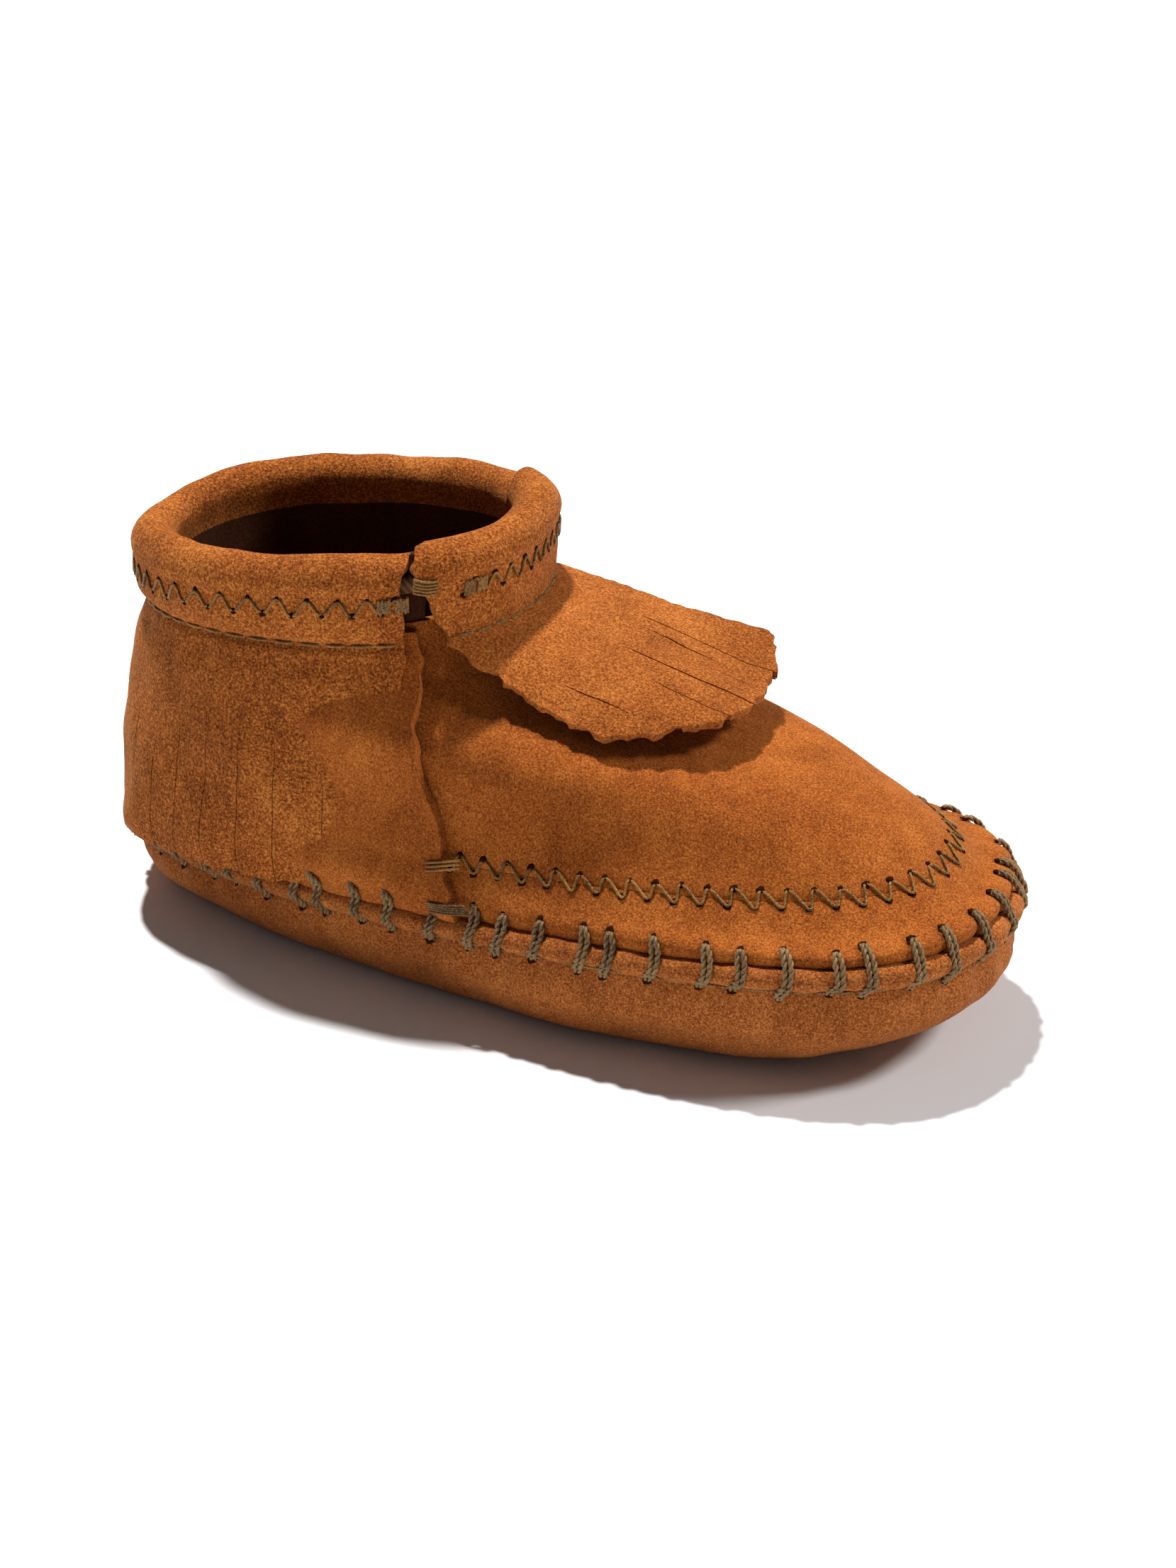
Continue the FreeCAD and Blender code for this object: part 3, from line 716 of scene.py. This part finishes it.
hinge = next(joint for joint in frame["joints"] if joint["name"] == "fringe_lift")
_, flap_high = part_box("front_fringe")
flap_tip = flap_high[0] + 0.3 * mm
flap_half = 15.6 * mm
flap_rows, flap_columns = 70, 180
t = np.linspace(-1, 1, flap_columns)
s = np.linspace(0, 1, flap_rows)
root_angle = np.interp(front_stitch_v, front_v, front_edge) * t
root = front_collar_skin.at(root_angle, np.full(flap_columns, front_stitch_v))
end_y = flap_half * t
end_x = flap_tip - np.where(t < 0, 14.0, 5.5) * mm * np.abs(t) ** 2.2


def apron_height(x, y):
    """The height of the flap's face: it slopes to the toe, with its right side down and its left side up."""
    slope = 47.9 * mm - 0.225 * (x + 1 * mm) + 0.4 * mm * np.sin(x / (7 * mm) + y / (9 * mm))
    side = (y / (15 * mm)) ** 2
    return slope + np.where(y < 0, -4.0 * mm * side, (0.13 * x - 1.2 * mm) * side)


# Each slit: its place across, the shares of the length at which it starts and ends, its half width in mm.
slit_places = [(0.12, 0.45, 0.86, 0.16), (0.33, 0.62, 1.0, 0.08), (0.47, 0.42, 1.0, 0.14),
               (0.60, 0.74, 0.97, 0.08), (0.68, 0.40, 0.80, 0.16), (0.77, 0.38, 1.0, 0.12)]
random.seed(11)
end_shift = np.zeros(flap_columns)
for place, _, last_share, _ in slit_places:
    if last_share == 1.0:
        end_shift[int(place * flap_columns):] += random.uniform(-0.9, 0.9) * mm
end_x = end_x + end_shift - end_shift.mean()
s_grid = np.repeat(s[:, None], flap_columns, axis=1)
x = root[:, 0] + (end_x - root[:, 0]) * s_grid
y = root[:, 1] + (end_y - root[:, 1]) * s_grid ** 0.7
z = apron_height(x, y) + (root[:, 2] - apron_height(root[:, 0], root[:, 1])) * (1 - s_grid) ** 2
flap_points = np.stack([x, y, z], axis=-1)
free = s_grid ** 1.5
waves = wander(flap_points, 8 * mm, 0.9 * mm, 51) + wander(flap_points, 3 * mm, 0.25 * mm, 52)
flap_points[..., 2] += free * waves
rim_fade = np.maximum(np.exp(-(1 - s_grid) * 27), np.exp(-(1 - np.abs(t))[None, :] * 15))
for axis, seed in ((0, 53), (1, 54)):
    flap_points[..., axis] += rim_fade * wander(flap_points, 1.5 * mm, 0.55 * mm, seed)
flap_slits = []
for place, first_share, last_share, half_width in slit_places:
    column, first = int(place * flap_columns), int(first_share * flap_rows)
    last_row = int(round(last_share * (flap_rows - 1)))
    flap_slits.append((column, first, last_row, half_width * mm))
    if last_row == flap_rows - 1:
        strands = beyond_slit(flap_rows, flap_columns, column, first)
        flap_points[..., 2] += random.uniform(-0.25, 0.25) * mm * strands
cut = Slits(flap_points, flap_slits)
flap = make_piece("fringe_flap_apron", cut.points, cut.faces, fringe_suede)
thicken(flap, soft_edge=0.2 * mm)
hinge_x = hinge["pos_m"][0]
hinge_x - 4 * mm
hinge_x + 5 * mm
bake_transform(flap)
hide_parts("front_fringe")


# ---- Threads ----
# Two threads: a thick waxed one, laid double in each whipstitch, and a fine brown and gold one for the
# machine work. Both are twisted from plies, and the shade inside each needle hole is painted as a small dark
# star.

def thread_material(name, dark, light, roughness, twist):
    material, graph, surface = new_material(name)
    place = graph.place()
    fibre = graph.node("ShaderNodeTexNoise", {}, {"Vector": place, "Scale": 1 / twist, "Detail": 2.0})
    patch = graph.node("ShaderNodeTexNoise", {}, {"Vector": place, "Scale": 1 / (6 * mm), "Detail": 1.0})
    tone = fibre * 0.8 + patch * 0.5 - 0.15
    connect(graph, surface, Base_Color=graph.ramp(tone, (0.25, dark), (0.8, light)),
            Normal=graph.bump(fibre, 0.5, 0.06 * mm))
    surface.inputs["Roughness"].default_value = roughness
    surface.inputs["Specular IOR Level"].default_value = 0.3
    return material


whip_thread = thread_material("whip_thread", (0.075, 0.038, 0.014), (0.34, 0.20, 0.08), 0.5, 0.22 * mm)
fine_thread = thread_material("fine_thread", (0.03, 0.012, 0.003), (0.42, 0.20, 0.04), 0.35, 0.3 * mm)
# painted shade: the near-black hole colour stands in for the shade inside each needle hole
painted_hole_shade, hole_graph, hole_surface = new_material("painted_hole_shade")
hole_grain = hole_graph.node("ShaderNodeTexNoise", {}, {"Scale": 1 / (0.4 * mm), "Detail": 1.0})
painted_hole_shade_colour = hole_graph.ramp(hole_grain, (0.3, (0.008, 0.003, 0.001)), (0.8, (0.05, 0.014, 0.004)))
connect(hole_graph, hole_surface, Base_Color=painted_hole_shade_colour)
hole_surface.inputs["Specular IOR Level"].default_value = 0.0


def geometry_tree(name, inputs):
    """An empty geometry tree with named inputs; gives its graph, what reads an input and what ends it."""
    tree = bpy.data.node_groups.new(name, "GeometryNodeTree")
    tree.interface.new_socket("Geometry", in_out="INPUT", socket_type="NodeSocketGeometry")
    for label, kind in inputs:
        tree.interface.new_socket(label, in_out="INPUT", socket_type=kind)
    tree.interface.new_socket("Geometry", in_out="OUTPUT", socket_type="NodeSocketGeometry")
    graph = Graph(tree)
    start = tree.nodes.new("NodeGroupInput")

    def given(label):
        return Wire(graph, start.outputs[label])

    def finish_with(geometry, material):
        real = graph.node("GeometryNodeRealizeInstances", {}, {"Geometry": geometry})
        dressed = graph.node("GeometryNodeSetMaterial", {}, {"Geometry": real, "Material": material})
        graph.node("NodeGroupOutput", {}, {"Geometry": dressed})

    return graph, given, finish_with


def twisted_thread_tree():
    """Turns each chain of edges into a thread twisted from round plies."""
    graph, given, finish_with = geometry_tree("twisted_thread", [
        ("Plies", "NodeSocketInt"), ("Ply radius", "NodeSocketFloat"), ("Twist radius", "NodeSocketFloat"),
        ("Twist length", "NodeSocketFloat"), ("Step", "NodeSocketFloat"), ("Sides", "NodeSocketInt"),
        ("Material", "NodeSocketMaterial")])
    curve = graph.node("GeometryNodeMeshToCurve", {}, {"Mesh": given("Geometry")})
    even = graph.node("GeometryNodeResampleCurve", {"mode": "LENGTH"},
                      {"Curve": curve, "Length": given("Step")})
    plies = graph.node("GeometryNodeDuplicateElements", {"domain": "SPLINE"},
                       {"Geometry": even, "Amount": given("Plies")})
    which = Wire(graph, plies.socket.node.outputs["Duplicate Index"])
    along = graph.node("GeometryNodeSplineParameter", out="Length")
    phase = (along / given("Twist length") + which / given("Plies")) * turn
    normal = graph.node("GeometryNodeInputNormal")
    tangent = graph.node("GeometryNodeInputTangent")
    side = graph.vector("CROSS_PRODUCT", tangent, normal)
    cosine = graph.node("ShaderNodeMath", {"operation": "COSINE"}, {0: phase})
    sine = graph.node("ShaderNodeMath", {"operation": "SINE"}, {0: phase})
    first = graph.vector("SCALE", normal, cosine * given("Twist radius"))
    second = graph.vector("SCALE", side, sine * given("Twist radius"))
    offset = graph.vector("ADD", first, second)
    laid = graph.node("GeometryNodeSetPosition", {}, {"Geometry": plies, "Offset": offset})
    ring = graph.node("GeometryNodeCurvePrimitiveCircle", {},
                      {"Resolution": given("Sides"), "Radius": given("Ply radius")})
    tube = graph.node("GeometryNodeCurveToMesh", {}, {"Curve": laid, "Profile Curve": ring, "Fill Caps": True})
    finish_with(tube, given("Material"))
    return graph.tree


def hole_tree():
    """Puts a small flat dark star of painted shade at every point, square to the leather, for the shade inside
    a needle hole.
    """
    graph, given, finish_with = geometry_tree("needle_holes", [
        ("Radius", "NodeSocketFloat"), ("Unevenness", "NodeSocketFloat"), ("Seed", "NodeSocketInt"),
        ("Material", "NodeSocketMaterial")])
    star = graph.node("GeometryNodeMeshCone", {"fill_type": "NGON"},
                      {"Vertices": 9, "Side Segments": 1, "Radius Top": given("Radius") * 0.3,
                       "Radius Bottom": given("Radius"), "Depth": given("Radius") * 0.22})
    rough = graph.node("FunctionNodeRandomValue", {"data_type": "FLOAT_VECTOR"},
                       {0: (-1.0, -1.0, 0.0), 1: (1.0, 1.0, 0.0), "Seed": given("Seed")})
    shift = graph.vector("SCALE", rough, given("Radius") * given("Unevenness"))
    torn = graph.node("GeometryNodeSetPosition", {}, {"Geometry": star, "Offset": shift})
    outward = graph.node("GeometryNodeInputNamedAttribute", {"data_type": "FLOAT_VECTOR"},
                         {"Name": "outward"})
    facing = graph.node("FunctionNodeAlignRotationToVector", {"axis": "Z"}, {"Vector": outward})
    grown = graph.node("FunctionNodeRandomValue", {"data_type": "FLOAT"},
                       {2: 0.75, 3: 1.25, "Seed": given("Seed")}, out=1)
    placed = graph.node("GeometryNodeInstanceOnPoints", {},
                        {"Points": given("Geometry"), "Instance": torn, "Rotation": facing, "Scale": grown})
    finish_with(placed, given("Material"))
    return graph.tree


thread_tree = twisted_thread_tree()
holes_tree = hole_tree()


def grown_by(tree, mesh, **values):
    """Runs a geometry tree on a mesh and gives the plain mesh that comes out."""
    carrier = bpy.data.objects.new("carrier", mesh)
    bpy.context.scene.collection.objects.link(carrier)
    modifier = carrier.modifiers.new("grow", "NODES")
    modifier.node_group = tree
    sockets = {item.name: item.identifier for item in tree.interface.items_tree if item.in_out == "INPUT"}
    for label, value in values.items():
        modifier[sockets[label.replace("_", " ")]] = value
    graph = bpy.context.evaluated_depsgraph_get()
    made = bpy.data.meshes.new_from_object(carrier.evaluated_get(graph))
    bpy.data.objects.remove(carrier)
    return made


def chains_mesh(chains):
    """Edges that join the points of each chain."""
    mesh = bpy.data.meshes.new("chains")
    points, edges = [], []
    for chain in chains:
        start = len(points)
        points.extend(tuple(p) for p in chain)
        edges.extend((start + k, start + k + 1) for k in range(len(chain) - 1))
    mesh.from_pydata(points, edges, [])
    return mesh


ply_sides = 5


def thread_piece(name, chains, holes, node, material, radius, plies=3, twist=1.5 * mm, hole=0.3 * mm):
    """Thread along chains of points, with the painted shade of a needle hole at each (point, outward
    direction).
    """
    strands = grown_by(thread_tree, chains_mesh(chains), Plies=plies, Ply_radius=radius * 0.56,
                       Twist_radius=radius * 0.46, Twist_length=twist, Step=radius * 0.8, Sides=ply_sides,
                       Material=material)
    meshes = [strands]
    if holes:
        dots = bpy.data.meshes.new("dots")
        dots.from_pydata([tuple(p) for p, _ in holes], [], [])
        direction = dots.attributes.new("outward", "FLOAT_VECTOR", "POINT")
        direction.data.foreach_set("vector", np.array([d for _, d in holes], float).ravel())
        meshes.append(grown_by(holes_tree, dots, Radius=hole, Unevenness=0.45, Seed=3, Material=painted_hole_shade))
    joined = join_meshes(name, meshes)
    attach(joined, "shoe")
    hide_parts(node)


def join_meshes(name, meshes):
    """One piece from several meshes, each with its own material."""
    points, faces, places, materials = [], [], [], []
    for mesh in meshes:
        start = len(points)
        points.extend(tuple(p.co) for p in mesh.vertices)
        faces.extend(tuple(start + k for k in polygon.vertices) for polygon in mesh.polygons)
        places.extend([len(materials)] * len(mesh.polygons))
        materials.append(mesh.materials[-1])
    mesh = bpy.data.meshes.new(name)
    mesh.from_pydata(points, [], faces)
    mesh.polygons.foreach_set("use_smooth", [True] * len(faces))
    for material in materials:
        mesh.materials.append(material)
    mesh.polygons.foreach_set("material_index", places)
    piece = bpy.data.objects.new(name, mesh)
    bpy.context.scene.collection.objects.link(piece)
    return piece


# ---- Whipstitches ----
# Each stitch comes out of a hole in the upper, goes over the bead and into the bottom. At the heel the
# stitches lean back, and round the toe they stand nearly upright.

def curve_through(points, steps):
    """A smooth chain through a few points."""
    points = np.array(points)
    knots = np.concatenate([[0.0], np.cumsum(np.linalg.norm(np.diff(points, axis=0), axis=1))])
    return smooth(knots, points, np.linspace(0, knots[-1], steps))


random.seed(5)
whip_chains, whip_holes = [], []
for place in stitch_places:
    angle = angle_along_seam(place)
    toward_toe = math.cos(angle)
    on_right = -1 if math.sin(angle) > 0 else 1
    ahead = oval(row(seam), angle)[0] + 12 * mm
    lean = 0.62 * mm * np.clip(ahead / (8 * mm), -0.7, 1.0) * min(1.0, 2.5 * abs(math.sin(angle))) * on_right
    high = (3.9 + 0.9 * max(toward_toe, 0.0) + random.uniform(-0.5, 0.5)) * mm
    low = (2.0 + random.uniform(-0.3, 0.4)) * mm
    skin, face = (front_skin, front_face) if toward_toe > -0.1 else (back_skin, back_face)

    def beside_place(share):
        return angle_along_seam(place + lean * share)

    top, top_out = face(beside_place(1.0), high), skin.normal(beside_place(1.0), high)
    neck = face(beside_place(0.65), 2.75 * mm + 0.35 * (high - 2.75 * mm))
    neck_out = skin.normal(beside_place(0.65), 3.2 * mm)
    over_bead = oval(row(seam, 1.0 * mm, 2.45 * mm), beside_place(0.35))
    outermost = oval(row(seam, 1.6 * mm, 1.2 * mm), beside_place(-0.2))
    under = pan_skin.at(beside_place(-1.0), pan_skin.height - low)
    under_out = pan_skin.normal(beside_place(-1.0), pan_skin.height - low)
    along = oval(row(seam), angle + 0.01) - oval(row(seam), angle - 0.01)
    along = along / np.linalg.norm(along)
    for strand in (-1, 1):
        beside = along * strand * 0.36 * mm
        inward = along * strand * 0.16 * mm
        whip_chains.append(curve_through([
            top - top_out * 0.7 * mm + inward, top + top_out * 0.3 * mm + inward,
            neck + neck_out * 0.5 * mm + beside, over_bead + beside, outermost + beside,
            under + under_out * 0.25 * mm + np.array([0, 0, 0.6 * mm]) + beside,
            under - under_out * 0.15 * mm + inward, under - under_out * 0.9 * mm + inward], 26))
    whip_holes.append((top + top_out * 0.03 * mm + np.array([0, 0, 0.3 * mm]), top_out))
    whip_holes.append((under + under_out * 0.03 * mm, under_out))
thread_piece("whipstitches", whip_chains, whip_holes, "whipstitch_thread", whip_thread,
             0.42 * mm, plies=2, twist=1.9 * mm, hole=0.5 * mm)


# ---- Zigzags ----
# Fine thread in rounded zigzags: along the toe line, where it joins the vamp to the band, and round both
# collars, where it closes the fold over the cord. The collar rows end in dense bars.

zigzag_lean = 0.3


def zigzag_chain(skin, face, angle_of, middle_v, count, half_height):
    """A rounded zigzag on a panel's face along middle_v; angle_of turns a share of its way into an angle."""
    share = np.linspace(0, 1, count * 10 + 1)
    beat = share * count
    skew = np.mod(beat, 1.0)
    wave = np.cos(turn * skew) + 0.22 * np.cos(2 * turn * skew)
    angle = angle_of(share + 0.25 * zigzag_lean / count * np.sin(turn * skew))
    v = middle_v + half_height * wave * (1 + 0.15 * np.sin(beat * 2.7))
    lift = np.where(wave > 1.0, -0.15 * mm, 0.2 * mm)
    chain = face(angle, v) + skin.normal(angle, v) * lift[:, None]
    holes = []
    for k in range(count + 1):
        for at, height in ((k, 1.22), (k + 0.5, -0.8)):
            if at <= count:
                spot = angle_of(np.array([at / count])), np.array([middle_v + half_height * height])
                direction = skin.normal(*spot)[0]
                holes.append((face(*spot)[0] + direction * 0.03 * mm, direction))
    return chain, holes


toe_zigzag_pitch = 3.35 * mm
toe_zigzag_half = 1.2 * mm
toe_end = float(seam_angles(front_skin, np.array([toe_v]))[0]) + 0.02
toe_angles = np.linspace(-toe_end, toe_end, 200)
toe_steps = np.linalg.norm(np.diff(oval(toe_line, toe_angles), axis=0), axis=1)
toe_shares = np.concatenate([[0.0], np.cumsum(toe_steps)]) / toe_steps.sum()


def toe_line_angle(share):
    return np.interp(share, toe_shares, toe_angles)


chain, holes = zigzag_chain(front_skin, front_face, toe_line_angle, toe_v,
                            int(toe_steps.sum() / toe_zigzag_pitch), toe_zigzag_half)
thread_piece("vamp_zigzag", [chain], holes, "vamp_zigzag_thread", fine_thread, 0.2 * mm,
             hole=0.4 * mm)


collar_zigzag_pitch = 2.9 * mm
collar_zigzag_drop = 1.6 * mm
collar_mean_radius = 23 * mm
bar_starts = (0.0, 0.085)
bar_reach = 0.06


def straight(first, last):
    """What gives the angle at a share of the way from first to last."""
    return lambda share: first + (last - first) * share


def collar_zigzag(name, skin, first, last, node, stitched_at, seed):
    """The zigzag under a collar's roll, with dense bars at each end."""
    middle_v = skin.knots[10] + collar_zigzag_drop

    def face(angle, v):
        return collar_face(skin, angle, v, stitched_at, 0.0, seed)

    count = int((last - first) * collar_mean_radius / collar_zigzag_pitch)
    chain, holes = zigzag_chain(skin, face, straight(first, last), middle_v, count, 1.05 * mm)
    chains = [chain]
    for end, way in ((first, 1), (last, -1)):
        for start in bar_starts:
            bar_angle = straight(end + way * start, end + way * (start + bar_reach))
            bar, _ = zigzag_chain(skin, face, bar_angle, middle_v, 4, 1.15 * mm)
            chains.append(bar)
    thread_piece(name, chains, holes, node, fine_thread, 0.19 * mm, hole=0.36 * mm)


back_zigzag_end = 0.93
front_zigzag_end = 0.62
collar_zigzag("back_collar_zigzag", collar_skin, back_zigzag_end, turn - back_zigzag_end,
              "back_cuff_zigzag_thread", stitch_v, back_seed)
collar_zigzag("front_collar_zigzag", front_collar_skin, -front_zigzag_end, front_zigzag_end,
              "front_cuff_zigzag_thread", front_stitch_v, front_seed)


# ---- Straight rows ----
# Lockstitch along the foot of both collars and along the seam under the bead.

stitch_cover = 0.86
stitch_sink = -0.25 * mm
stitch_rise = 0.12 * mm


def seam_row(name, skin, v_at, first, last, pitch, node, sunk):
    """Short stitches end to end; each dips into the leather at both ends."""
    length = np.linalg.norm(np.diff(skin.at(np.linspace(first, last, 100), v_at), axis=0), axis=1).sum()
    count = int(length / pitch)
    arch = np.sin(np.linspace(0, math.pi, 9)) ** 0.6
    lift = stitch_sink + (stitch_rise - stitch_sink) * arch
    chains = []
    for k in range(count):
        share = (k + np.linspace((1 - stitch_cover) / 2, (1 + stitch_cover) / 2, 9)) / count
        angles = straight(first, last)(share)
        chains.append(skin.at(angles, v_at) + skin.normal(angles, v_at) * (lift - sunk)[:, None])
    thread_piece(name, chains, [], node, fine_thread, 0.26 * mm, twist=1.2 * mm)


back_first = float(np.interp(stitch_v, np.linspace(0, collar_skin.height, back_rows), back_edge)) + 0.04
seam_row("back_collar_stitching", collar_skin, stitch_v, back_first, turn - back_first, 3.0 * mm,
         "back_cuff_seam_thread", 0.35 * mm)
front_last = float(np.interp(front_stitch_v, front_v, front_edge)) - 0.03
seam_row("front_collar_stitching", front_collar_skin, front_stitch_v, -front_last, front_last, 2.9 * mm,
         "front_cuff_seam_thread", 0.15 * mm)
seam_row("welt_stitching", pan_skin, pan_skin.knots[-2] - 0.3 * mm, 0.0, turn, 2.8 * mm,
         "welt_seam_thread", 0.0)


# ---- Tacks ----
# A few stitches in the same fine thread at each side seam: over the collar ends, down the quarter's
# raw edge and at its foot.

def tack_chains(skin, angle, v, count, length, pitch, slope):
    """Parallel short stitches across an edge."""
    chains = []
    for k in range(count):
        at_v = v + k * pitch
        reach = np.linalg.norm(skin.at(angle + 0.01, at_v) - skin.at(angle, at_v)) / 0.01
        spread = np.linspace(-1, 1, 9) * length / 2 / reach
        rise = np.linspace(-1, 1, 9) * slope
        lift = 0.3 * mm * np.cos(np.linspace(-1.9, 1.9, 9)) + 0.1 * mm
        angles = angle + spread
        chains.append(skin.at(angles, at_v + rise) + skin.normal(angles, at_v + rise) * lift[:, None])
    return chains


tack_radius = 0.18 * mm
on_cuff = float(np.interp(front_stitch_v - 6 * mm, front_v, front_edge))
low_edge = float(seam_angles(back_skin, np.array([toe_v]))[0])
foot_edge = float(seam_angles(back_skin, np.array([3.4 * mm]))[0])
# Each tack: piece, node, skin, angle, v, count, length, pitch and slope.
tacks = [("collar_tack_", "cuff_tack_", front_collar_skin, on_cuff, front_stitch_v - 8.2 * mm,
          5, 3.2 * mm, 0.52 * mm, 0.4 * mm),
         ("edge_stitches_", "side_seam_thread_", back_skin, low_edge, toe_v - 0.5 * mm,
          3, 5.0 * mm, 0.55 * mm, 0.6 * mm),
         ("foot_tack_", "bead_tack_", back_skin, foot_edge, 3.0 * mm, 5, 6.5 * mm, 0.4 * mm, 0.5 * mm)]
for side, side_name in ((1, "left"), (-1, "right")):
    for name, node, skin, angle, at_v, *laid in tacks:
        chains = tack_chains(skin, side * angle, at_v, *laid)
        thread_piece(name + side_name, chains, [], node + side_name, fine_thread, tack_radius)


# ---- Insole ----
# A soft foam bed with a thin suede sock glued on it, lying loose in the bottom.

pad_columns = 160
pad_profile = [(0.02, 0.0), (0.6, 0.0), (0.93, 0.0), (0.985, 0.2), (1.0, 0.5), (0.985, 0.82), (0.94, 1.0),
               (0.6, 1.0), (0.3, 1.0), (0.02, 1.0)]


def pad(name, node, material, crown):
    """A soft oval pad that fills its node's space, rounded at the edge and a little crowned."""
    low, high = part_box(node)
    outline = level(high[0], low[0], high[1], 4.0 * mm, 0.0, 0.0, 0.0)
    rings = []
    angles = np.linspace(0, turn, pad_columns, endpoint=False)
    middle = np.array([(low[0] + high[0]) / 2, 0.0, 0.0])
    for share, up in pad_profile:
        ring = (oval(outline, angles) - middle) * share * np.array([1.0, 0.97, 1.0]) + middle
        ring[:, 2] = low[2] + (high[2] - low[2]) * up + crown * (1 - share) * up
        rings.append(ring)
    points = np.array(rings)
    faces = list(grid_faces(len(rings), pad_columns, True))
    faces.append(range(pad_columns - 1, -1, -1))
    faces.append(range((len(rings) - 1) * pad_columns, len(rings) * pad_columns))
    piece = make_piece(name, points.reshape(-1, 3), faces, material)
    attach(piece, "shoe")
    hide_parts(node)
    return piece


sock_suede = suede("sock_suede", (0.06, 0.016, 0.005), (0.2, 0.06, 0.018), (0.36, 0.14, 0.05), contrast=0.8)
foam, foam_graph, foam_surface = new_material("insole_foam")
cells = foam_graph.node("ShaderNodeTexVoronoi", {}, {"Vector": foam_graph.place(), "Scale": 1 / (0.6 * mm)})
foam_colour = foam_graph.ramp(cells, (0.0, (0.45, 0.38, 0.27)), (0.7, (0.72, 0.66, 0.53)))
connect(foam_graph, foam_surface, Base_Color=foam_colour, Normal=foam_graph.bump(cells, 0.5, 0.2 * mm))
foam_pad = pad("insole_foam_bed", "insole_foam", foam, 0.2 * mm)
pad("insole_sock_lining", "insole_sock", sock_suede, 0.4 * mm)


# ---- Collar cords ----
# The soft woven cord inside each collar is a CAD piece; only its finish is added here.

cord_weave, cord_graph, cord_surface = new_material("woven_cord")
ribs = cord_graph.node("ShaderNodeTexWave", {"wave_type": "BANDS", "bands_direction": "DIAGONAL"},
                       {"Vector": cord_graph.place(), "Scale": 1 / (2.2 * mm), "Distortion": 1.0})
cord_colour = cord_graph.ramp(ribs, (0.0, (0.10, 0.05, 0.02)), (1.0, (0.22, 0.11, 0.05)))
connect(cord_graph, cord_surface, Base_Color=cord_colour, Normal=cord_graph.bump(ribs, 0.6, 0.15 * mm))
for node in ("back_cuff_cord", "front_cuff_cord"):
    cord_piece = frame["nodes"][node]
    cord_piece.data.materials.clear()
    cord_piece.data.materials.append(cord_weave)


# ---- Studio ----
# A wide white floor in an even white room, with a key sun high behind the heel on the left side and a
# weaker, softer one from beyond the toe.

paper, paper_graph, paper_surface = new_material("white_paper")
paper_grain = paper_graph.node("ShaderNodeTexNoise", {}, {"Scale": 40.0})
paper_colour = paper_graph.ramp(paper_grain, (0.0, (0.90, 0.90, 0.90)), (1.0, (0.94, 0.94, 0.94)))
connect(paper_graph, paper_surface, Base_Color=paper_colour)
floor_half = 3.0
floor_corners = [(-floor_half, -floor_half, 0), (floor_half, -floor_half, 0), (floor_half, floor_half, 0),
                 (-floor_half, floor_half, 0)]
floor = make_piece("floor", floor_corners, [(0, 1, 2, 3)], paper)

world = bpy.data.worlds.new("white_room")
world.use_nodes = True
world.node_tree.nodes["Background"].inputs["Color"].default_value = (1.0, 1.0, 1.0, 1.0)
world.node_tree.nodes["Background"].inputs["Strength"].default_value = 0.12
bpy.context.scene.world = world


def sun(name, toward, strength, spread):
    """A sun that shines from a direction; spread is its angle in degrees, which softens its shadows."""
    lamp = bpy.data.lights.new(name, "SUN")
    lamp.energy = strength
    lamp.angle = math.radians(spread)
    shown = bpy.data.objects.new(name, lamp)
    shown.rotation_mode = "QUATERNION"
    shown.rotation_quaternion = Vector(toward).to_track_quat("Z", "Y")
    bpy.context.scene.collection.objects.link(shown)


sun("key", (-0.28, 0.22, 1.0), 4.5, 4)
sun("side", (0.85, 0.45, 0.9), 2.0, 12)

azimuth, elevation = math.radians(26.21), math.radians(26.2)
level_way = math.cos(elevation)
back = Vector((math.sin(azimuth) * level_way, -math.cos(azimuth) * level_way, math.sin(elevation)))
aim = Vector((-0.0350, 0.0803, -0.0195))
distance = 0.600
camera = bpy.data.objects.new("camera", bpy.data.cameras.new("camera"))
camera.data.sensor_width = 36.0
camera.data.lens = 86.96
camera.data.clip_start = 0.01
camera.rotation_mode = "QUATERNION"
camera.rotation_quaternion = back.to_track_quat("Z", "Y")
camera.location = aim + back * distance
bpy.context.scene.collection.objects.link(camera)
bpy.context.scene.camera = camera
bpy.context.scene.view_settings.view_transform = "Standard"
